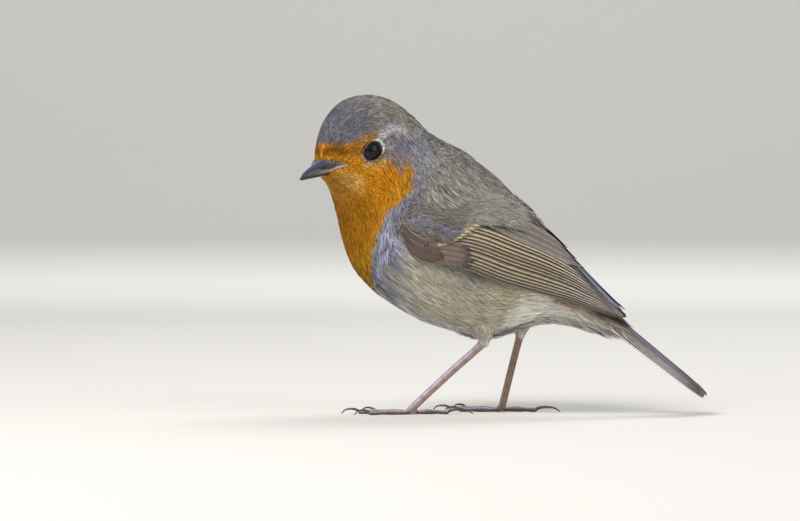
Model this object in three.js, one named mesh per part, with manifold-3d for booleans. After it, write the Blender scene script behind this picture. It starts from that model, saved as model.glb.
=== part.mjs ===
// European robin, life size, standing still with its head turned to its left.
// Millimetres, +Z up. The bird faces -X and its left side is towards -Y; the floor is z = 0.
// The body is one tapering form, laid out as ribs from the bill's base to the tail coverts,
// and parted by thin cuts into head, neck and trunk. Wings, thighs, bill and eyes sit in it.
import * as THREE from 'three';
import { ParametricGeometry } from 'three/addons/geometries/ParametricGeometry.js';
import { mergeVertices } from 'three/addons/utils/BufferGeometryUtils.js';
import Module from 'manifold-3d';

const wasm = await Module();
wasm.setup();

// ---- driving dimensions ----------------------------------------------------------------
const gap = 0.3;                  // clearance between neighbouring pieces
const lengthCentre = 1.185;       // middle of the bill-to-tail length, moved to x = 0
const headPivotX = -33.4;         // upright line that the head turns about
const headTurn = 48;              // degrees, to the bird's left

// Each rib: back point x, z; front point x, z; half width; height of the widest place as a
// share of the rib from the front point; share of the head's turn that it takes.
const bodyRibs = [
  [-53.0, 67.4, -52.3, 63.8, 2.3, 0.5, 1],        // base of the bill
  [-52.7, 70.2, -50.6, 62.0, 4.2, 0.5, 1],        // lores
  [-51.3, 74.8, -47.9, 59.8, 6.2, 0.5, 1],        // forehead
  [-48.6, 79.8, -45.4, 57.0, 8.3, 0.5, 1],        // brow
  [-43.6, 83.7, -43.7, 53.4, 10.0, 0.5, 1],       // eyes
  [-36.4, 84.8, -42.6, 49.4, 11.5, 0.5, 0.97],    // crown
  [-29.5, 83.2, -41.9, 45.4, 12.5, 0.47, 0.86],   // back of the crown
  [-24.0, 79.2, -40.9, 41.4, 14.0, 0.44, 0.66],   // nape
  [-19.4, 74.6, -39.2, 37.6, 16.2, 0.43, 0.42],   // neck
  [-14.2, 71.6, -36.4, 34.2, 18.4, 0.45, 0.2],    // shoulders
  [-8.4, 68.3, -32.4, 30.8, 19.8, 0.47, 0.06],    // mantle
  [2.8, 58.4, -20.0, 24.0, 19.8, 0.5, 0],         // back and belly
  [11.0, 46.6, -4.0, 20.8, 16.6, 0.52, 0],        // rump and vent
  [18.6, 37.0, 13.4, 25.7, 9.6, 0.54, 0],         // tail coverts
  [30.0, 26.9, 29.2, 21.7, 4.6, 0.55, 0],         // where the coverts end
];
const cutBehindHead = 6.4;        // in ribs
const cutBehindNeck = 8.9;
const cutWidth = 0.09;            // in ribs, about 0.3 mm at the narrowest

// Folded wing, left side. Each rib: lower edge x, y, z; upper edge x, y, z; crown of the arch.
const wingRibs = [
  [-25.9, -17.0, 48.9, -25.2, -15.4, 52.6, 0.5],   // bend of the wing
  [-22.0, -19.9, 43.3, -19.0, -16.9, 55.6, 1.7],
  [-16.0, -20.7, 40.7, -10.6, -16.4, 55.9, 2.2],
  [-7.1, -20.7, 38.9, -1.6, -12.6, 56.6, 3.0],     // tips of the coverts
  [2.1, -18.8, 35.2, 6.6, -3.9, 53.9, 4.1],
  [11.0, -15.0, 32.5, 14.1, -1.4, 46.7, 3.2],
  [19.2, -11.4, 30.2, 20.8, -1.4, 39.2, 1.9],
  [26.1, -7.6, 27.8, 27.7, -2.2, 31.9, 0.8],
  [32.8, -4.6, 25.7, 33.0, -3.2, 26.8, 0.1],       // wing tip
];
const wingThick = 1.7;
const wingEdge = 0.7;
const covertEnd = 3.12;           // in wing ribs
const flightStart = 3.18;
const primaryShare = 0.34;        // share of the wing's height that the primaries show
const wingGapShare = 0.025;

const tail = { baseX: 30.2, baseZ: 24.5, tipX: 53.4, tipZ: 5.3, baseHalf: 4.4, tipHalf: 7.2,
  baseThick: 4.8, midThick: 2.3, tipThick: 1.1, roof: 1.3, notch: 1.3 };

// Bill, in the unturned head: distances in front of the pivot line and heights.
const bill = { tip: [26.8, 62.9], nostril: [20.0, 67.6], gape: [13.6, 65.9],
  hiddenEnd: 14.6, halfWidthAtGape: 3.9, lowerRise: 1.9, overbite: 0.7 };
const eye = { radius: 3.4, ahead: 9.9, side: 10.05, height: 70.1, proud: 0.95, forward: 12, up: 4 };

const legs = {
  left: { side: -1, hip: [-2.6, -8.6, 31.0], ankle: [-3.9, -7.1, 19.4], foot: [-22.8, -8.0, 1.7],
    toeOut: 5 },
  right: { side: 1, hip: [5.6, 8.0, 31.0], ankle: [4.2, 6.4, 21.2], foot: [-0.8, 7.5, 1.7],
    toeOut: 7 },
};
const thigh = { hipRadius: 5.2, ankleRadius: 1.9 };
const tarsus = { deep: 1.05, wide: 0.78, ankleSwell: 0.35, footSwell: 0.75 };
const toes = {
  inner: { angle: 20, aside: 1.8, length: 8.6, claw: 3.7, radius: 0.72 },
  middle: { angle: 1, aside: 0, length: 11.8, claw: 4.2, radius: 0.76 },
  outer: { angle: -17, aside: -1.8, length: 9.0, claw: 3.7, radius: 0.72 },
  hind: { angle: 180, aside: 0, length: 7.6, claw: 6.2, radius: 0.88 },
};
const toeTaper = 0.18;
const toeSink = 0.62;             // height of a toe's middle, as a share of its radius
const toeStart = 2.3;             // from the sole's middle
const soleAhead = 0.5;            // the sole's middle is this far in front of the foot joint
const clawTipRadius = 0.26;

// ---- colours ---------------------------------------------------------------------------
const finish = (color, roughness) => new THREE.MeshStandardMaterial({ color, roughness,
  metalness: 0 });
const orange = finish('#d98a24', 0.9);
const olive = finish('#7f7a62', 0.9);
const brown = finish('#6b5c46', 0.8);
const horn = finish('#2d2b30', 0.35);
const black = finish('#0b0908', 0.08);
const legBrown = finish('#7a5348', 0.5);

// ---- helpers ---------------------------------------------------------------------------
const radians = THREE.MathUtils.degToRad;
const mix = THREE.MathUtils.lerp;
const smooth = THREE.MathUtils.smoothstep;

// Catmull-Rom interpolation down the rows of a table, at a place counted in rows.
function between(rows, place) {
  const last = rows.length - 1;
  const i = Math.min(Math.max(Math.floor(place), 0), last - 1);
  const t = place - i;
  const row = (k) => rows[Math.min(Math.max(k, 0), last)];
  return rows[i].map((b, c) => {
    const [a, d, e] = [row(i - 1)[c], row(i + 1)[c], row(i + 2)[c]];
    return b + 0.5 * t * (d - a + t * (2 * a - 5 * b + 4 * d - e + t * (3 * (b - d) + e - a)));
  });
}

// A closed skin through rings: ring(u, angle) gives a point, and each end ring is capped
// with a fan to its own middle.
function ringSolid(ring, along, around) {
  const turn = (v) => 2 * Math.PI * v;
  const middle = (u) => {
    const sum = new THREE.Vector3();
    for (let k = 0; k < around; k += 1) sum.add(ring(u, turn(k / around)));
    return sum.divideScalar(around);
  };
  const ends = [middle(0), middle(1)];
  const rows = along + 2;
  const geometry = new ParametricGeometry((v, w, target) => {
    const row = Math.round(w * rows);
    if (row === 0) target.copy(ends[0]);
    else if (row === rows) target.copy(ends[1]);
    else target.copy(ring((row - 1) / along, turn(Math.round(v * around) % around / around)));
  }, around, rows);
  return closed(geometry);
}

// Shared corners merged and triangles without area dropped, faces turned outwards.
function closed(geometry) {
  geometry.deleteAttribute('normal');
  geometry.deleteAttribute('uv');
  const merged = mergeVertices(geometry, 1e-4);
  const old = merged.index.array;
  const kept = [];
  for (let i = 0; i < old.length; i += 3) {
    const [a, b, c] = [old[i], old[i + 1], old[i + 2]];
    if (a !== b && b !== c && c !== a) kept.push(a, b, c);
  }
  merged.setIndex(kept);
  if (volume(merged) < 0) {
    for (let i = 0; i < kept.length; i += 3) [kept[i], kept[i + 1]] = [kept[i + 1], kept[i]];
    merged.setIndex(kept);
  }
  return merged;
}

function volume(geometry) {
  const index = geometry.index.array;
  const place = geometry.attributes.position;
  const [a, b, c] = [new THREE.Vector3(), new THREE.Vector3(), new THREE.Vector3()];
  let total = 0;
  for (let i = 0; i < index.length; i += 3) {
    a.fromBufferAttribute(place, index[i]);
    b.fromBufferAttribute(place, index[i + 1]);
    c.fromBufferAttribute(place, index[i + 2]);
    total += a.dot(b.cross(c)) / 6;
  }
  return total;
}

function toManifold(geometry) {
  const vertProperties = new Float32Array(geometry.attributes.position.array);
  const triVerts = new Uint32Array(geometry.index.array);
  return new wasm.Manifold(new wasm.Mesh({ numProp: 3, vertProperties, triVerts }));
}

function cutAway(geometry, tools) {
  let body = toManifold(geometry);
  for (const tool of tools) body = body.subtract(toManifold(tool));
  const mesh = body.getMesh();
  const result = new THREE.BufferGeometry();
  const points = new Float32Array((mesh.vertProperties.length / mesh.numProp) * 3);
  for (let i = 0; i < points.length / 3; i += 1) {
    for (let k = 0; k < 3; k += 1) points[3 * i + k] = mesh.vertProperties[mesh.numProp * i + k];
  }
  result.setAttribute('position', new THREE.BufferAttribute(points, 3));
  result.setIndex(Array.from(mesh.triVerts));
  return result;
}

const mirrored = (geometry) => closed(geometry.clone().scale(1, -1, 1));

// ---- the body's form -------------------------------------------------------------------
// A rib is two half ellipses, upper and lower, on the line from its front to its back point.
// It lies in one plane, and the ribs of the head and neck are turned about the pivot line.
function bodyPoint(place, angle, swell = 0) {
  const [backX, backZ, frontX, frontZ, half, widest, share] = between(bodyRibs, place);
  const height = Math.hypot(backX - frontX, backZ - frontZ);
  const [ex, ez] = [(backX - frontX) / height, (backZ - frontZ) / height];
  const upper = Math.cos(angle) > 0;
  const reach = (upper ? 1 - widest : widest) * height + swell;
  const along = widest * height + reach * Math.cos(angle);
  const side = -(half + swell) * Math.sin(angle);
  const turn = radians(headTurn) * share;
  const ahead = frontX + ex * along - headPivotX;
  return new THREE.Vector3(
    headPivotX + ahead * Math.cos(turn) - side * Math.sin(turn),
    ahead * Math.sin(turn) + side * Math.cos(turn),
    frontZ + ez * along,
  );
}

const bodyPiece = (from, to, along, around) => ringSolid(
  (u, angle) => bodyPoint(mix(from, to, u), angle), along, around);

const turnedHead = new THREE.Matrix4().makeTranslation(headPivotX, 0, 0)
  .multiply(new THREE.Matrix4().makeRotationZ(radians(headTurn)));

// ---- bill ------------------------------------------------------------------------------
// Culmen, cutting edge and keel are read off at a distance x in front of the pivot line.
const billReach = bill.tip[0] - bill.gape[0];
function billLines(x) {
  const back = (bill.tip[0] - x) / billReach;
  const rise = bill.nostril[1] - bill.tip[1];
  const nostrilBack = (bill.tip[0] - bill.nostril[0]) / billReach;
  return {
    top: bill.tip[1] + rise * Math.pow(Math.max(back, 0) / nostrilBack, 0.72),
    edge: mix(bill.tip[1] - 0.4, bill.gape[1], Math.pow(Math.max(back, 0), 0.8)),
    bottom: bill.tip[1] - 0.75 + bill.lowerRise * Math.min(back, 1),
    half: 0.28 + bill.halfWidthAtGape * Math.pow(Math.max(back, 0), 0.8),
  };
}

function mandible(upper, swell) {
  const ring = (u, angle) => {
    const start = bill.tip[0] - (upper ? 0 : bill.overbite);
    const x = mix(start + swell, bill.hiddenEnd - swell, u);
    const line = billLines(Math.min(x, bill.tip[0]));
    const edge = line.edge + (upper ? gap / 2 : -gap / 2) + (upper ? -swell : swell);
    const far = upper ? Math.max(line.top, edge + 0.4) + swell
      : Math.min(line.bottom, edge - 0.4) - swell;
    const share = Math.max(0, Math.sin(angle));
    const side = (line.half + swell) * Math.cos(angle) * (upper ? 1 - 0.25 * share : 1);
    return new THREE.Vector3(-x, side, mix(edge, far, share));
  };
  return ringSolid(ring, 7, 12);
}

// ---- eyes ------------------------------------------------------------------------------
function eyeBall(side, swell) {
  const outward = new THREE.Vector3(-Math.sin(radians(eye.forward)),
    side * Math.cos(radians(eye.forward)), Math.sin(radians(eye.up))).normalize();
  const centre = new THREE.Vector3(-eye.ahead, side * eye.side, eye.height)
    .addScaledVector(outward, eye.proud - eye.radius);
  const ball = new THREE.SphereGeometry(eye.radius + swell, 14, 8);
  ball.translate(centre.x, centre.y, centre.z);
  return closed(ball);
}

// ---- wings -----------------------------------------------------------------------------
// A wing point at a place counted in wing ribs, a share of the height from the lower edge,
// and a depth below the outer face. The arch is a parabola square to the rib and the wing.
function wingPoint(place, share, depth) {
  const read = (at) => {
    const r = between(wingRibs, at);
    return { low: new THREE.Vector3(r[0], r[1], r[2]), top: new THREE.Vector3(r[3], r[4], r[5]),
      arch: r[6] };
  };
  const here = read(place);
  const step = read(Math.min(place + 0.1, wingRibs.length - 1)).low
    .sub(read(Math.max(place - 0.1, 0)).low);
  const across = here.top.clone().sub(here.low);
  const outward = across.clone().cross(step).normalize();
  if (outward.y > 0) outward.negate();
  return here.low.clone().addScaledVector(across, share)
    .addScaledVector(outward, 4 * here.arch * share * (1 - share) - depth);
}

// Part of a wing: its outline runs along the outer face and back along the inner one.
function wingPiece(from, to, lowShare, topShare, along, steps) {
  const around = 2 * steps + 2;
  const ring = (u, angle) => {
    const place = mix(from, to, u);
    const k = Math.round(angle / (2 * Math.PI) * around);
    const inside = k > steps;
    const f = inside ? (around - 1 - k) / steps : k / steps;
    const share = mix(lowShare(place), topShare(place), f);
    const rounding = Math.sqrt(Math.max(0, 4 * share * (1 - share)));
    return wingPoint(place, share, inside ? mix(wingEdge, wingThick, rounding) : 0);
  };
  return ringSolid(ring, along, around);
}

// The room a wing takes out of the trunk: its whole outline, open outwards.
function wingRoom() {
  const steps = 5;
  const around = 2 * steps + 2;
  const lastRib = wingRibs.length - 1;
  const ring = (u, angle) => {
    const place = mix(0, lastRib, u);
    const k = Math.round(angle / (2 * Math.PI) * around);
    const inside = k > steps;
    const f = inside ? (around - 1 - k) / steps : k / steps;
    const tall = wingPoint(place, 1, 0).distanceTo(wingPoint(place, 0, 0));
    const share = mix(-gap / tall, 1 + gap / tall, f);
    const held = Math.min(Math.max(share, 0), 1);
    const rounding = Math.sqrt(4 * held * (1 - held));
    const depth = inside ? mix(wingEdge, wingThick, rounding) + gap : -5;
    const point = wingPoint(place, share, depth);
    point.x += u < 0.5 ? -gap * (1 - 2 * u) : gap * (2 * u - 1);
    return point;
  };
  return ringSolid(ring, 16, around);
}

const lower = () => 0;
const upper = () => 1;
const primaryTop = (place) => mix(primaryShare, 1, smooth(place, 6.3, 7.6));
const secondaryLow = (place) => Math.min(primaryTop(place) + wingGapShare
  + 0.03 * smooth(place, 5.4, 6.6), 0.93);

// ---- tail ------------------------------------------------------------------------------
// Flat oval sections from the coverts to the tip, a little roof-shaped, with a shallow notch.
function tailSolid() {
  const axis = new THREE.Vector3(tail.tipX - tail.baseX, 0, tail.tipZ - tail.baseZ);
  const square = new THREE.Vector3(-axis.z, 0, axis.x).normalize();
  const [backX, backZ, frontX, frontZ] = bodyRibs[bodyRibs.length - 1];
  const likeRib = new THREE.Vector3(backX - frontX, 0, backZ - frontZ).normalize();
  const ring = (u, angle) => {
    const half = mix(tail.baseHalf, tail.tipHalf, Math.pow(u, 0.8));
    const thick = u < 0.3 ? mix(tail.baseThick, tail.midThick, smooth(u, 0, 0.3))
      : mix(tail.midThick, tail.tipThick, (u - 0.3) / 0.7);
    const across = Math.cos(angle);
    const blunt = Math.sign(Math.sin(angle)) * Math.pow(Math.abs(Math.sin(angle)), 0.6);
    const drop = tail.roof * across * across * smooth(u, 0, 0.5);
    const lift = blunt * thick / 2 - drop + tail.roof / 2 * smooth(u, 0, 0.5);
    const reach = u + tail.notch * (Math.abs(across) - 0.5) / axis.length() * smooth(u, 0.5, 1);
    const upwards = likeRib.clone().lerp(square, smooth(u, 0, 0.25)).normalize();
    return new THREE.Vector3(tail.baseX, half * across, tail.baseZ)
      .addScaledVector(axis, reach).addScaledVector(upwards, lift);
  };
  return ringSolid(ring, 8, 16);
}

// ---- legs ------------------------------------------------------------------------------
// A limb along a curve, oval in section, its sole flattened where it meets the floor.
function limb(curve, deep, wide, along, around) {
  const across = new THREE.Vector3();
  const ring = (u, angle) => {
    const line = curve.getTangent(u);
    across.crossVectors(new THREE.Vector3(0, 0, 1), line);
    if (across.length() < 0.05) across.set(0, 1, 0);
    across.normalize();
    const front = new THREE.Vector3().crossVectors(line, across).normalize();
    const point = curve.getPoint(u)
      .addScaledVector(across, wide(u) * Math.cos(angle))
      .addScaledVector(front, deep(u) * Math.sin(angle));
    point.z = Math.max(point.z, 0);
    return point;
  };
  return ringSolid(ring, along, around);
}

const vector = (list) => new THREE.Vector3(list[0], list[1], list[2]);

function thighSolid(leg, swell) {
  const [hip, ankle] = [vector(leg.hip), vector(leg.ankle)];
  const along = ankle.clone().sub(hip).normalize();
  const end = ankle.clone().addScaledVector(along, swell);
  const start = hip.clone().addScaledVector(along, -swell);
  const radius = (u) => mix(thigh.hipRadius, thigh.ankleRadius, Math.pow(u, 0.8)) + swell;
  return limb(new THREE.LineCurve3(start, end), radius, radius, 4, 12);
}

function tarsusSolid(leg, swell) {
  const [ankle, foot] = [vector(leg.ankle), vector(leg.foot)];
  const along = foot.clone().sub(ankle).normalize();
  const start = ankle.clone().addScaledVector(along, gap - swell);
  const sole = new THREE.Vector3(foot.x - soleAhead, foot.y, -0.5);
  const curve = new THREE.CatmullRomCurve3([start, start.clone().lerp(foot, 0.5), foot, sole]);
  const swellAt = (u) => tarsus.ankleSwell * (1 - smooth(u, 0, 0.15))
    + tarsus.footSwell * smooth(u, 0.78, 1);
  return limb(curve, (u) => tarsus.deep + swellAt(u) + swell,
    (u) => tarsus.wide + swellAt(u) + swell, 9, 8);
}

// Heading of a toe: forward is -X, turned out by the foot's own angle and the toe's.
function toeHeading(leg, toe) {
  const angle = radians(180 - leg.side * (leg.toeOut - toe.angle));
  return new THREE.Vector3(Math.cos(angle), Math.sin(angle), 0);
}

// The middle of the foot's sole, moved aside to where the toe grows from.
const toeRoot = (leg, toe) => new THREE.Vector3(leg.foot[0] - soleAhead,
  leg.foot[1] - leg.side * toe.aside, 0);

function toeSolid(leg, toe) {
  const heading = toeHeading(leg, toe);
  const root = toeRoot(leg, toe);
  const at = (far, height) => root.clone().addScaledVector(heading, far).setZ(height);
  const end = toeStart + toe.length;
  const low = toeSink * toe.radius;
  const curve = new THREE.LineCurve3(at(toeStart, low), at(end, low * (1 - toeTaper)));
  const radius = (u) => toe.radius * (1 - toeTaper * u) * (1 + 0.09 * Math.cos(6 * Math.PI * u));
  return limb(curve, radius, radius, 7, 8);
}

// A claw rises a little from the toe's end and curves down to the floor.
function clawSolid(leg, toe) {
  const heading = toeHeading(leg, toe);
  const start = toeStart + toe.length + gap;
  const root = toeRoot(leg, toe);
  const at = (far, height) => root.clone().addScaledVector(heading, start + far).setZ(height);
  const curve = new THREE.CatmullRomCurve3([at(0, 0.8 * toe.radius), at(0.3 * toe.claw, 1.25),
    at(0.72 * toe.claw, 1.25), at(toe.claw, clawTipRadius + 0.05)]);
  const radius = (u) => mix(toe.radius * 0.7, clawTipRadius, Math.pow(u, 0.8));
  return limb(curve, radius, (u) => 0.8 * radius(u), 5, 6);
}

// ---- assembly --------------------------------------------------------------------------
const robin = new THREE.Group();
function add(name, geometry, material) {
  const mesh = new THREE.Mesh(geometry, material);
  mesh.name = name;
  robin.add(mesh);
}

const billCuts = [mandible(true, gap), mandible(false, gap)]
  .map((geometry) => geometry.applyMatrix4(turnedHead));
const eyeCuts = [-1, 1].map((side) => eyeBall(side, gap).applyMatrix4(turnedHead));
add('head', cutAway(bodyPiece(0, cutBehindHead, 20, 28), [...billCuts, ...eyeCuts]), orange);

const room = wingRoom();
const wingRooms = [room, mirrored(room)];
const neck = bodyPiece(cutBehindHead + cutWidth, cutBehindNeck, 6, 28);
add('neck', cutAway(neck, wingRooms), olive);

const thighRooms = Object.values(legs).map((leg) => thighSolid(leg, gap));
const trunk = bodyPiece(cutBehindNeck + cutWidth, bodyRibs.length - 1, 16, 28);
add('trunk', cutAway(trunk, [...wingRooms, ...thighRooms]), olive);
add('tail', tailSolid(), brown);

const wingPieces = {
  coverts: wingPiece(0, covertEnd, lower, upper, 7, 5),
  secondaries: wingPiece(flightStart, 7.2, secondaryLow, upper, 8, 4),
  primaries: wingPiece(flightStart, wingRibs.length - 1, lower, primaryTop, 9, 3),
};
for (const [part, geometry] of Object.entries(wingPieces)) {
  add(`wing_left_${part}`, geometry, brown);
  add(`wing_right_${part}`, mirrored(geometry), brown);
}

add('bill_upper', mandible(true, 0).applyMatrix4(turnedHead), horn);
add('bill_lower', mandible(false, 0).applyMatrix4(turnedHead), horn);
add('eye_left', eyeBall(-1, 0).applyMatrix4(turnedHead), black);
add('eye_right', eyeBall(1, 0).applyMatrix4(turnedHead), black);

for (const [side, leg] of Object.entries(legs)) {
  add(`thigh_${side}`, cutAway(thighSolid(leg, 0), [tarsusSolid(leg, gap)]), olive);
  add(`tarsus_${side}`, tarsusSolid(leg, 0), legBrown);
  for (const [name, toe] of Object.entries(toes)) {
    add(`toe_${side}_${name}`, toeSolid(leg, toe), legBrown);
    add(`claw_${side}_${name}`, clawSolid(leg, toe), horn);
  }
}
robin.position.x = -lengthCentre;

export default robin;
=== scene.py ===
import math

import bpy
import mathutils
import numpy as np
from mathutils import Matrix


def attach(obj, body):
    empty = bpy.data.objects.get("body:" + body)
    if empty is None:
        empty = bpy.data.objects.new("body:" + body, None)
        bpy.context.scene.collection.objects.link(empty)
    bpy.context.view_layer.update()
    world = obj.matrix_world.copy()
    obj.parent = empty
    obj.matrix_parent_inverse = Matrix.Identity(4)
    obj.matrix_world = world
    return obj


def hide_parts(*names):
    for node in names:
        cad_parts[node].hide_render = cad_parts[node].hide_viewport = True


# A robin standing with its head turned to its left. It faces -X, its left side is towards -Y.
# Shapes are worked out in millimetres and brought to metres when a mesh is made.

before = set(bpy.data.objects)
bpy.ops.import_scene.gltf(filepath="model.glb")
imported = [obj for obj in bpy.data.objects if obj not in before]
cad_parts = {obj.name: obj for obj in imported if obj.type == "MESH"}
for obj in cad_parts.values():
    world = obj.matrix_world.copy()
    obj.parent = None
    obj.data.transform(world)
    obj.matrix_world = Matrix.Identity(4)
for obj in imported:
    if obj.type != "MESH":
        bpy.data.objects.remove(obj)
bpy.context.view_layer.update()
rng = np.random.default_rng(11)
mm = 0.001
lengthCentre = 1.185  # the body's own x is moved back by this much


# colours and materials

def linear(red, green, blue):  # display values from 0 to 255 made scene light
    c = np.array([red, green, blue], float) / 255
    return np.where(c <= 0.04045, c / 12.92, ((c + 0.055) / 1.055) ** 2.4)


def smooth(x, low, high):  # 0 below low, 1 above high, an S curve between
    t = np.clip((np.asarray(x, float) - low) / (high - low), 0, 1)
    return t * t * (3 - 2 * t)


def blend(colour, other, share):  # colour, turned to the other one by a share from 0 to 1
    return colour + (other - colour) * np.asarray(share)[..., None]


def lookUp(x, table, column=1):  # a table's column at x in its first, straight between rows
    return np.interp(x, table[:, 0], table[:, column])


def newMaterial(name, roughness, specular=0.5, coat=0.0, coatRoughness=0.1):
    # coat is a clear layer over the surface
    material = bpy.data.materials.new(name)
    material.use_nodes = True
    inputs = material.node_tree.nodes["Principled BSDF"].inputs
    inputs["Roughness"].default_value = roughness
    inputs["Specular IOR Level"].default_value = specular
    inputs["Coat Weight"].default_value = coat
    inputs["Coat Roughness"].default_value = coatRoughness
    return material


def addNode(material, kind, values, links=(), **settings):
    # a node with its settings and its inputs' values; a link is an output and an input of it
    node = material.node_tree.nodes.new(kind)
    for setting, value in settings.items():
        setattr(node, setting, value)
    for socket, value in values.items():
        node.inputs[socket].default_value = value
    for output, socket in links:
        material.node_tree.links.new(output, node.inputs[socket])
    return node


def toShader(material, output, socket):  # an output linked to the material's own shader
    shader = material.node_tree.nodes["Principled BSDF"]
    material.node_tree.links.new(output, shader.inputs[socket])


def bumpFrom(material, noise, strength, distance):
    # a noise lifts and sinks the surface by about the distance, in metres
    bump = addNode(material, "ShaderNodeBump", {"Strength": strength, "Distance": distance},
                   [(noise.outputs["Fac"], "Height")])
    toShader(material, bump.outputs["Normal"], "Normal")


def noiseBump(material, scale, strength, distance, stretch=(1, 1, 1)):
    # unevenness from a fine noise in object space, stretched
    place = addNode(material, "ShaderNodeTexCoord", {})
    mapping = addNode(material, "ShaderNodeMapping", {"Scale": stretch},
                      [(place.outputs["Object"], "Vector")])
    noise = addNode(material, "ShaderNodeTexNoise", {"Scale": scale, "Detail": 4},
                    [(mapping.outputs["Vector"], "Vector")])
    bumpFrom(material, noise, strength, distance)


def tintByNoise(material, place, scale, detail, reach, contrast):
    # Base colour = the mesh's tint times a factor. It goes from 1 - contrast to 1 + contrast
    # while a noise over the place goes from 0.5 - reach to 0.5 + reach.
    noise = addNode(material, "ShaderNodeTexNoise", {"Scale": scale, "Detail": detail},
                    [(place, "Vector")])
    factor = addNode(material, "ShaderNodeMapRange",
                     {"From Min": 0.5 - reach, "From Max": 0.5 + reach,
                      "To Min": 1 - contrast, "To Max": 1 + contrast},
                     [(noise.outputs["Fac"], "Value")])
    tint = addNode(material, "ShaderNodeAttribute", {}, attribute_name="tint")
    scaled = addNode(material, "ShaderNodeVectorMath", {},
                     [(tint.outputs["Color"], 0), (factor.outputs["Result"], "Scale")],
                     operation="SCALE")
    toShader(material, scaled.outputs["Vector"], "Base Color")
    return noise


def tintedMaterial(name, roughness, mottleScale, mottle, **look):
    # colour from the mesh's tint, made lighter and darker by a fine noise in object space
    material = newMaterial(name, roughness, **look)
    place = addNode(material, "ShaderNodeTexCoord", {})
    tintByNoise(material, place.outputs["Object"], mottleScale, 3, 0.2, mottle)
    return material


# mesh making

def fullTurn(count):  # evenly spaced angles once round
    return np.linspace(0, 2 * np.pi, count, endpoint=False)


def gridFaces(rows, columns, wrap=False):
    # quads of a grid whose rows run along and whose columns run across
    r, c = np.meshgrid(np.arange(rows - 1), np.arange(columns if wrap else columns - 1),
                       indexing="ij")
    right = (c + 1) % columns
    quads = np.stack([r * columns + c, r * columns + right,
                      (r + 1) * columns + right, (r + 1) * columns + c], -1)
    return quads.reshape(-1, 4)


def capFaces(ring, centre):
    # a fan of triangles from a ring of point numbers to one more point
    return np.stack([np.roll(ring, -1), ring, np.full_like(ring, centre)], -1)


def makePiece(name, points, faces, material, tint, replaced=(), bakeMap=None):
    # Points in millimetres, faces a list of arrays of three or four point numbers each. The
    # tint is one colour or one for each point, the bake map two numbers for each point.
    mesh = bpy.data.meshes.new(name)
    mesh.vertices.add(len(points))
    mesh.vertices.foreach_set("co", (points * mm).ravel())
    corners = np.concatenate([f.ravel() for f in faces]).astype(np.int32)
    totals = np.concatenate([np.full(len(f), f.shape[1]) for f in faces]).astype(np.int32)
    starts = np.concatenate([[0], np.cumsum(totals)[:-1]]).astype(np.int32)
    mesh.loops.add(len(corners))
    mesh.loops.foreach_set("vertex_index", corners)
    mesh.polygons.add(len(totals))
    mesh.polygons.foreach_set("loop_start", starts)
    mesh.polygons.foreach_set("loop_total", totals)
    mesh.update(calc_edges=True)
    mesh.polygons.foreach_set("use_smooth", np.ones(len(totals), bool))
    colour = np.ones((len(points), 4))
    colour[:, :3] = np.clip(tint, 0, 1)
    layer = mesh.attributes.new("tint", "FLOAT_COLOR", "POINT")
    layer.data.foreach_set("color", colour.ravel())
    if bakeMap is not None:
        mesh.uv_layers.new(name="OFBake").data.foreach_set("uv", bakeMap[corners].ravel())
    piece = bpy.data.objects.new(name, mesh)
    bpy.context.scene.collection.objects.link(piece)
    mesh.materials.append(material)
    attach(piece, "root")
    if replaced:
        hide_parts(*replaced)
    return piece


def tube(path, across, deepWay, wide, deep, around, squeeze=None):
    # Rings of an oval section carried along a path: path + across * wide cos + deepWay *
    # deep sin of the angle. Squeeze changes the cosine and the sine for another section.
    turn = fullTurn(around)
    side, front = np.cos(turn), np.sin(turn)
    if squeeze is not None:
        side, front = squeeze(side, front)
    return (path[:, None] + across[:, None] * side[None, :, None] * wide[:, None, None]
            + deepWay[:, None] * front[None, :, None] * deep[:, None, None])


def closedTube(rings):
    # point list and outward faces of a tube whose two ends are closed by fans
    rows, around = rings.shape[:2]
    points = np.concatenate([rings.reshape(-1, 3), [rings[0].mean(0), rings[-1].mean(0)]])
    first, last = np.arange(around), np.arange(around) + (rows - 1) * around
    faces = [gridFaces(rows, around, wrap=True), capFaces(first, rows * around),
             capFaces(last, rows * around + 1)[:, ::-1]]
    return points, outward(points, faces)


def tubeTint(tint):  # tints of a closed tube's rings, then those of its two end points
    return np.concatenate([tint.reshape(-1, 3), tint[0, :1], tint[-1, :1]])


def tubePiece(name, rings, material, tint, replaced, bakeMap=None):
    # a piece that is one closed tube, its tint one colour for each point of the rings
    points, faces = closedTube(rings)
    makePiece(name, points, faces, material, tubeTint(tint), replaced, bakeMap)


def joinShapes(shapes):
    # several shapes of points and faces made one, point numbers moved along
    points, faces, start = [], [], 0
    for shapePoints, shapeFaces in shapes:
        points.append(shapePoints.reshape(-1, 3))
        faces += [f + start for f in shapeFaces]
        start += len(points[-1])
    return np.concatenate(points), faces


def outward(points, faces):
    # Faces turned round if the closed shape they make has a negative volume: the sum over its
    # triangles of a . (b x c).
    total = 0.0
    for f in faces:
        a = points[f[:, 0]]
        for k in range(1, f.shape[1] - 1):
            total += np.einsum("ij,ij->i", a, np.cross(points[f[:, k]], points[f[:, k + 1]])).sum()
    return [f[:, ::-1] for f in faces] if total < 0 else faces


def unit(v):  # each vector over its own length
    return v / np.maximum(np.linalg.norm(v, axis=-1, keepdims=True), 1e-12)


def normalAt(surface, place, around):  # unit direction straight out of a surface
    return unit(surface(place, around, 1.0) - surface(place, around))


def otherSide(angle, side):  # the angle from the back, on the left side, -1, or the right, 1
    return angle if side < 0 else 2 * np.pi - angle


# the form of the body

headPivotX = -33.4
headTurn = 48  # degrees, to the left
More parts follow.
